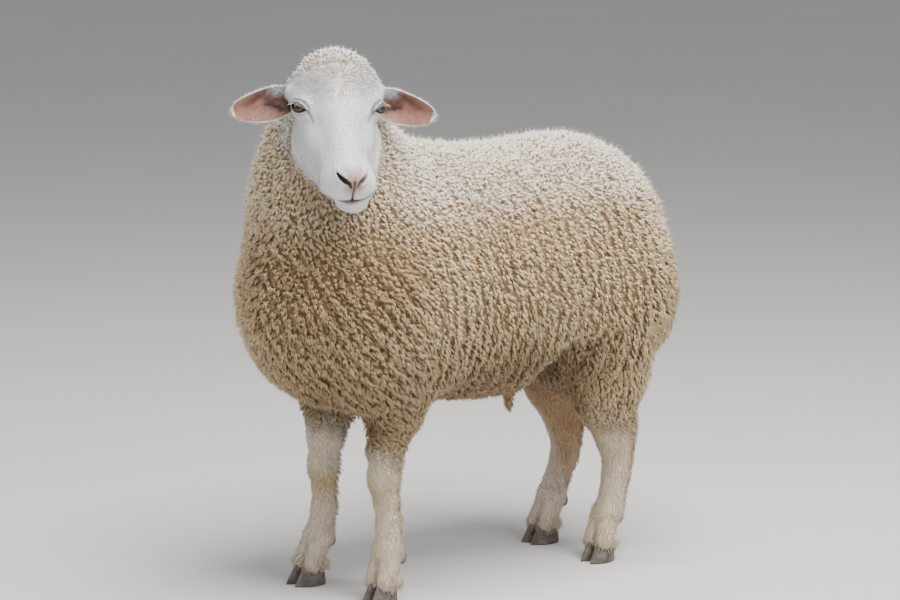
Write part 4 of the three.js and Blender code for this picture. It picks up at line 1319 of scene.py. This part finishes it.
numbers(skin.data, "hue", markings(skin_points, skin_head), "FLOAT_COLOR")
numbers(skin.data, "lie", lie_of(skin_points, skin_head, skin_normal), "FLOAT_VECTOR")
numbers(skin.data, "comb", comb_lines(), "FLOAT_VECTOR")
fold_phase, fold_height = fleece_folds(skin_points)
numbers(skin.data, "fold_phase", fold_phase)
numbers(skin.data, "fold_height", fold_height * ramp(skin_wool, 0.5, 1) * (1 - on_skull) / 1000)
numbers(skin.data, "clump", 0.010 * ramp(skin_wool, 0.4, 1) * (1 - 0.6 * on_skull))
numbers(skin.data, "ruffle", 3 * ramp(skin_normal[:, 2], 0.45, 0.85) * ramp(skin_points[:, 2], 560, 680))
skin_wet = wet_parts()
numbers(skin.data, "wet", skin_wet)


def cut_ground(name, keep, reach, rise, density, region=None):
    """The faces of the skin where keep is above a half, with what the coat grown there needs and their own unwrap."""
    mesh = skin.data.copy()
    for key, values in (("reach", reach / 1000), ("rise", rise / 1000), ("density", density)):
        numbers(mesh, key, values)
    starts = np.empty(len(mesh.polygons), np.int32)
    counts = np.empty(len(mesh.polygons), np.int32)
    corners = np.empty(len(mesh.loops), np.int32)
    mesh.polygons.foreach_get("loop_start", starts)
    mesh.polygons.foreach_get("loop_total", counts)
    mesh.loops.foreach_get("vertex_index", corners)
    kept = np.minimum.reduceat(keep[corners], starts) > 0.5
    zone = np.zeros(len(mesh.polygons), np.int32) if region is None else region[corners[starts]]
    layer = mesh.attributes.new("region", "INT", "FACE")
    layer.data.foreach_set("value", zone.astype(np.int32))
    cutter = bmesh.new()
    cutter.from_mesh(mesh)
    cutter.faces.ensure_lookup_table()
    bmesh.ops.delete(cutter, geom=[cutter.faces[i] for i in np.flatnonzero(~kept)], context="FACES")
    cutter.to_mesh(mesh)
    cutter.free()
    mesh.uv_layers.new(name="unwrap")
    piece = new_object(name, mesh)
    bpy.context.view_layer.objects.active = piece
    piece.select_set(True)
    bpy.ops.object.mode_set(mode="EDIT")
    bpy.ops.mesh.select_all(action="SELECT")
    bpy.ops.uv.smart_project(angle_limit=1.15, island_margin=0.003)
    bpy.ops.object.mode_set(mode="OBJECT")
    bpy.data.objects.remove(piece)
    return mesh


# ---------------------------------------------------------------- fleece
ZONES = ("neck", "chest", "ribs", "flank", "rump")


def fleece_region(p):
    x, y, z = p[:, 0], p[:, 1], p[:, 2]
    zone = np.select([(z > 600) & (y < -120), y < -190, y < 40, y < 220], [0, 1, 2, 3], 4)
    return (zone * 2 + (x > 0)).astype(np.int32)


LOCK_SPACING = 4.6

reach, rise = lock_sizes(skin_points, skin_head)
fleece_ground = cut_ground("fleece_ground", (skin_wool > 0.06).astype(float), reach, rise, ramp(skin_wool, 0.05, 0.35), fleece_region(skin_points))
for i, zone_name in enumerate(ZONES):
    for k, side_name in enumerate(("right", "left")):
        grow_coat(
            f"fleece_{zone_name}_{side_name}",
            fleece_ground.copy(),
            "fleece",
            Locks=WOOL_LOCKS,
            Spacing=LOCK_SPACING / 1000,
            Region=i * 2 + k,
            Widest=0.013,
            Sway=0.007,
            Jitter=0.26,
            Seed=3,
            Finish=CURLED_WOOL,
        )

# ---------------------------------------------------------------- short hair where it breaks the form
bare_parts = np.zeros(len(skin_points))
for eye in EYES:
    q = eye.local(skin_head)
    bare_parts = np.maximum(bare_parts, ramp(-almond_distance(q, eye.nasal), -3.5, -2) * ramp(q[:, 2], 0, 5))
bare_parts = np.maximum(bare_parts, ramp(-nostril_distance(skin_head), -3.5, -2))
bare_parts = np.maximum(bare_parts, skin_wet)
head_side = (skin_points[:, 2] > 560) & (skin_points[:, 1] < -120)
near_wool = ramp(skin_wool, 0.0, 0.5)
forehead = ramp(skin_head[:, 1], -25, 12) * ramp(skin_head[:, 2], 5, 30)
hair_reach = 6 + 7 * forehead + 3 * near_wool - 2.2 * ramp(-skin_head[:, 1], 110, 135)
hair_rise = 1.6 + 3.0 * forehead + 3.0 * near_wool - 0.5 * ramp(-skin_head[:, 1], 110, 135)
hair_keep = head_side & (skin_wool < 0.75) & (on_ear < 0.5)
face_ground = cut_ground("face_ground", hair_keep.astype(float), hair_reach, hair_rise, 1 - bare_parts)
grow_coat("hair_face", face_ground, "face_hair", Locks=SHORT_BLADES, Spacing=0.0028, Region=0, Widest=0.008, Sway=0.0012, Jitter=0.16, Seed=7, Finish=FACE_HAIR)

ear_rim = np.zeros(len(skin_points))
ear_inside = np.zeros(len(skin_points))
for side in (1, -1):
    s, t, off, half = ear_point(skin_head, side)
    near = ramp(-ear_field(skin_head, side), -3.5, -0.8)
    cream_root = ramp(-s, -0.46, -0.36) * ramp(t, 0.25, 0.5)
    ear_rim = np.maximum(ear_rim, near * np.clip(ramp(np.abs(t), 0.86, 0.97) + ramp(s, 0.92, 0.98) + cream_root, 0, 1))
    ear_inside = np.maximum(ear_inside, near * ramp(off, -0.5, 1.0))
ear_density = 1 - 0.75 * ear_inside * (1 - ear_rim)
ear_ground = cut_ground("ear_ground", (on_ear > 0.4).astype(float), 5 + 3.0 * ear_rim, 1.2 + 1.6 * ear_rim, ear_density)
grow_coat("hair_ears", ear_ground, "face_hair", Locks=SHORT_BLADES, Spacing=0.0021, Region=0, Widest=0.006, Sway=0.0012, Jitter=0.3, Seed=9, Finish=FACE_HAIR)

leg_low = skin_points[:, 2] < 330
behind_leg = ramp(skin_normal[:, 1], 0.1, 0.7)
over_hoof = ramp(-skin_points[:, 2], -66, -44) * (1 - behind_leg)
leg_reach = 10 + 4 * near_wool + 7 * behind_leg * ramp(skin_points[:, 2], 90, 150) + 6 * over_hoof
leg_rise = 2.4 + 3.0 * near_wool + 2.4 * behind_leg * ramp(skin_points[:, 2], 90, 150) + 0.8 * over_hoof
leg_ground = cut_ground("leg_ground", (leg_low & (skin_wool < 0.75)).astype(float), leg_reach, leg_rise, ramp(skin_points[:, 2], 22, 34))
grow_coat("hair_legs", leg_ground, "leg_hair", Locks=SHORT_BLADES, Spacing=0.0030, Region=0, Widest=0.0105, Sway=0.002, Jitter=0.2, Seed=13, Finish=FACE_HAIR)

# ---------------------------------------------------------------- skin finish
WOOL_GROUND, wool_ground_tree = material("felted_wool_ground")


def felted_ground():
    """The matted wool next to the skin, seen only between the locks: dull and rough, and brownish, partly its own
    colour and partly painted shade for the gaps between the locks.
    """
    tree = wool_ground_tree
    place = node(tree, "ShaderNodeTexCoord")["Object"]
    fuzz = node(tree, "ShaderNodeTexNoise", {"Vector": place, "Scale": 1 / 0.002, "Detail": 3.0})[0]
    tint = blend_colours(tree, between(tree, fuzz, 0.3, 0.7, 0, 1), colour("8a6f4c"), colour("ab8e66"))
    mixed = blend_colours(tree, 0.3, tint, stored(tree, "hue"))
    bump = node(tree, "ShaderNodeBump", {"Strength": 0.6, "Distance": 0.0015, "Height": fuzz})[0]
    close(tree, node(tree, "ShaderNodeBsdfPrincipled", {"Base Color": mixed, "Roughness": 0.95, "Normal": bump})[0])


felted_ground()
skin.data.materials.clear()
skin.data.materials.append(WOOL_GROUND)
skin.data.materials.append(FACE_HAIR)
starts = np.empty(len(skin.data.polygons), np.int32)
corners = np.empty(len(skin.data.loops), np.int32)
skin.data.polygons.foreach_get("loop_start", starts)
skin.data.loops.foreach_get("vertex_index", corners)
skin.data.polygons.foreach_set("material_index", (skin_wool[corners[starts]] < 0.4).astype(np.int32))
skin.data.polygons.foreach_set("use_smooth", np.ones(len(skin.data.polygons), bool))
for name in ("lie", "fold_phase", "fold_height", "ruffle", "clump"):
    skin.data.attributes.remove(skin.data.attributes[name])
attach(skin, "root")
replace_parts(skin, *[n for n in frame["nodes"] if "claw" not in n and not n.startswith("eye")])


# ---------------------------------------------------------------- eyes
def make_eye(eye, name):
    rings, around_ = 26, 36
    points, faces = [(0, 0, EYE_RADIUS + 1.2)], []
    for k in range(1, rings):
        polar = np.pi * (k / rings) ** 1.15
        radius = EYE_RADIUS + 1.2 * np.exp(-((polar / 0.55) ** 4))
        for i in range(around_):
            a = 2 * np.pi * i / around_
            points.append((radius * np.sin(polar) * np.cos(a), radius * np.sin(polar) * np.sin(a), radius * np.cos(polar)))
    points.append((0, 0, -EYE_RADIUS))
    for i in range(around_):
        j = (i + 1) % around_
        faces.append((0, 1 + i, 1 + j))
        for k in range(rings - 2):
            a, b = 1 + k * around_, 1 + (k + 1) * around_
            faces.append((a + i, b + i, b + j, a + j))
        last = 1 + (rings - 2) * around_
        faces.append((last + i, len(points) - 1, last + j))
    local = np.array(points, np.float32)
    mesh = new_mesh(name, placed(from_head(local @ eye.axes.T + eye.centre)), faces)
    numbers(mesh, "gaze", local - np.array((eye.nasal * 1.0, 2.2, 0)), "FLOAT_VECTOR")
    mesh.polygons.foreach_set("use_smooth", np.ones(len(faces), bool))
    mesh.materials.append(WET_EYE)
    ball = new_object(name, mesh)
    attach(ball, "root")
    return ball


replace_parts(make_eye(EYES[0], "eyeball_left"), "eye_left")
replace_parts(make_eye(EYES[1], "eyeball_right"), "eye_right")


# ---------------------------------------------------------------- hooves
def claw_point(level, turn_, side):
    """A point of a claw's wall: level 0 at the sole and 1 at the coronet, turn 0 at the toe."""
    toe = -CLAW["length"] * 0.53 + CLAW["toe_back"] * level
    heel = CLAW["length"] * 0.47 - CLAW["heel_forward"] * level
    round_off = 1 - 0.06 * (1 - level) ** 8 - 0.22 * max(level - 0.86, 0) ** 1.2
    half = (CLAW["width"] / 2 - 1.2 * level) * round_off
    ahead, across = -np.cos(turn_), np.sin(turn_)
    y = toe + (heel - toe) * (ahead * round_off + 1) / 2
    taper = 1 - 0.42 * ahead * ahead if ahead < 0 else 1 - 0.1 * ahead * ahead
    lean = -side * 5 * max(0.0, -ahead) ** 1.5
    height = CORONET_HEIGHT + (CLAW["heel_height"] - CORONET_HEIGHT) * (ahead + 1) / 2
    return (across * half * taper + lean, y, level * height)


def make_claw(name, x, y, side):
    levels, around_ = 12, 40
    points = [claw_point(k / (levels - 1), 2 * np.pi * i / around_, side) for k in range(levels) for i in range(around_)]
    faces = []
    for k in range(levels - 1):
        for i in range(around_):
            j = (i + 1) % around_
            faces.append((k * around_ + i, k * around_ + j, (k + 1) * around_ + j, (k + 1) * around_ + i))
    faces.append(tuple(range(around_))[::-1])
    faces.append(tuple((levels - 1) * around_ + i for i in range(around_)))
    local = np.array(points)
    local = local @ turn("z", np.sign(x) * TOE_OUT + side * CLAW_SPLAY).T + (x + side * DIGIT_SPREAD, y - 1, 0)
    finish_horn(name, local, faces)


def make_dewclaw(name, x, y, side):
    rings, around_ = 9, 16
    points, faces = [(0, 0, -1)], []
    for k in range(1, rings):
        polar = np.pi * k / rings
        for i in range(around_):
            a = 2 * np.pi * i / around_
            points.append((np.sin(polar) * np.cos(a), np.sin(polar) * np.sin(a), -np.cos(polar)))
    points.append((0, 0, 1))
    for i in range(around_):
        j = (i + 1) % around_
        faces.append((0, 1 + j, 1 + i))
        faces += [(1 + k * around_ + i, 1 + k * around_ + j, 1 + (k + 1) * around_ + j, 1 + (k + 1) * around_ + i) for k in range(rings - 2)]
        last = 1 + (rings - 2) * around_
        faces.append((last + i, last + j, len(points) - 1))
    local = (np.array(points) * DEWCLAW) @ turn("x", -25).T + (x * 0.96 + side * 13, y + 41, FETLOCK_HEIGHT - 15)
    finish_horn(name, local, faces)


def finish_horn(name, local, faces):
    mesh = new_mesh(name, placed(np.asarray(local, np.float32)), faces)
    mesh.polygons.foreach_set("use_smooth", np.array([len(f) <= 4 for f in faces]))
    mesh.materials.append(HOOF_HORN)
    horn = new_object(name, mesh)
    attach(horn, "root")
    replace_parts(horn, name.replace("horn_", ""))


for foot, (x, y, fore) in FEET.items():
    for side in (1, -1):
        which = "outer" if side == np.sign(x) else "inner"
        make_claw(f"horn_{foot}_claw_{which}", x, y, side)
        make_dewclaw(f"horn_{foot}_dewclaw_{which}", x, y, side)


# ---------------------------------------------------------------- eyelashes
def make_lashes(eye, name):
    strands = []
    c, s = np.cos(LID_SLANT), np.sin(LID_SLANT)
    for u in np.linspace(-0.9, 0.75, 22):
        a = u * LID_HALF_WIDTH
        b = np.sqrt(lid_bow(UPPER_LID) ** 2 - a**2) - lid_bow(UPPER_LID) + UPPER_LID + 0.8
        x = eye.nasal * (a * c + b * s + LID_CENTRE[0])
        y = -a * s + b * c + LID_CENTRE[1]
        z = np.sqrt(max((EYE_RADIUS + LID_THICK - 0.6) ** 2 - x**2 - y**2, 1))
        t = np.array((0, 0.35, 0.7, 1.0))[:, None]
        root = np.array((x, y, z))
        length = 10 - 3 * u + rng.uniform(-1, 1.5)
        out = unit(np.array((eye.nasal * (0.6 * u - 0.25) + rng.uniform(-0.12, 0.12), 0.0 + rng.uniform(-0.1, 0.1), 1.0)))
        path = root + length * (t * out + t**2 * np.array((eye.nasal * 0.15 * u, -0.3, -0.1)))
        thick = 2.2 if u < -0.6 else 1.0
        strands.append(strand(path, (0.42 * thick, 0.36 * thick, 0.2)))
    made = template(name, strands)
    local = points_of(made.data)
    co = placed(from_head(local @ eye.axes.T.astype(np.float32) + eye.centre))
    made.data.vertices.foreach_set("co", np.asarray(co, np.float32).ravel())
    dark = hex_colour("4b3d33") + (hex_colour("d8cdbf") - hex_colour("4b3d33")) * np.array([s for st in strands for s in st[2]])[:, None]
    numbers(made.data, "hue", dark, "FLOAT_COLOR")
    made.data.materials.append(FACE_HAIR)
    bpy.context.scene.collection.objects.link(made)
    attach(made, "root")


make_lashes(EYES[0], "lashes_left")
make_lashes(EYES[1], "lashes_right")

for book in (WOOL_LOCKS, SHORT_BLADES):
    for made in list(book.objects):
        bpy.data.objects.remove(made)
    bpy.data.collections.remove(book)

# ---------------------------------------------------------------- floor, camera and light
FLOOR_FINISH, floor_tree = material("pale_matt_floor")
floor_place = node(floor_tree, "ShaderNodeTexCoord")["Object"]
floor_cloud = node(floor_tree, "ShaderNodeTexNoise", {"Vector": floor_place, "Scale": 1.2, "Detail": 3.0})[0]
floor_hue = blend_colours(floor_tree, floor_cloud, colour("cfcdc9"), colour("d6d4d0"))
close(floor_tree, node(floor_tree, "ShaderNodeBsdfPrincipled", {"Base Color": floor_hue, "Roughness": 0.8})[0])
floor = new_object("floor", new_mesh("floor", [(-30, -30, 0), (30, -30, 0), (30, 30, 0), (-30, 30, 0)], [(0, 1, 2, 3)]))
floor.data.materials.append(FLOOR_FINISH)

CAMERA = {"azimuth": 52.0, "elevation": 9.3, "distance": 6.0, "lens": 138, "target": (-0.0075, -0.0096, 0.485)}


def make_camera():
    a, e = np.radians(CAMERA["azimuth"]), np.radians(CAMERA["elevation"])
    out = Vector((np.sin(a) * np.cos(e), -np.cos(a) * np.cos(e), np.sin(e)))
    data = bpy.data.cameras.new("camera")
    data.lens = CAMERA["lens"]
    data.sensor_width = 36
    made = bpy.data.objects.new("camera", data)
    made.location = Vector(CAMERA["target"]) + Vector(BODY_ORIGIN) + out * CAMERA["distance"]
    made.rotation_euler = (-out).to_track_quat("-Z", "Y").to_euler()
    bpy.context.scene.collection.objects.link(made)
    bpy.context.scene.camera = made


make_camera()


def add_softbox(name, place, power, size, tint):
    lamp = bpy.data.lights.new(name, "AREA")
    lamp.energy = power
    lamp.size = size
    lamp.color = tint
    made = bpy.data.objects.new(name, lamp)
    made.location = place
    made.rotation_euler = (Vector((0, 0, 0.5)) - Vector(place)).to_track_quat("-Z", "Y").to_euler()
    bpy.context.scene.collection.objects.link(made)


add_softbox("overhead", (1.2, 0.0, 3.4), 265, 2.4, (1, 0.99, 0.97))
add_softbox("side", (3.8, 0.2, 2.4), 85, 2.4, (1, 0.99, 0.97))
add_softbox("front", (2.4, -3.8, 2.2), 14, 2.2, (0.97, 0.98, 1))
add_softbox("rim", (-2.8, -3.0, 2.6), 60, 1.8, (0.98, 0.99, 1))
studio = bpy.data.worlds.new("studio")
bpy.context.scene.world = studio
studio.use_nodes = True
studio.node_tree.nodes["Background"].inputs[0].default_value = (0.93, 0.96, 1, 1)
studio.node_tree.nodes["Background"].inputs[1].default_value = 0.42
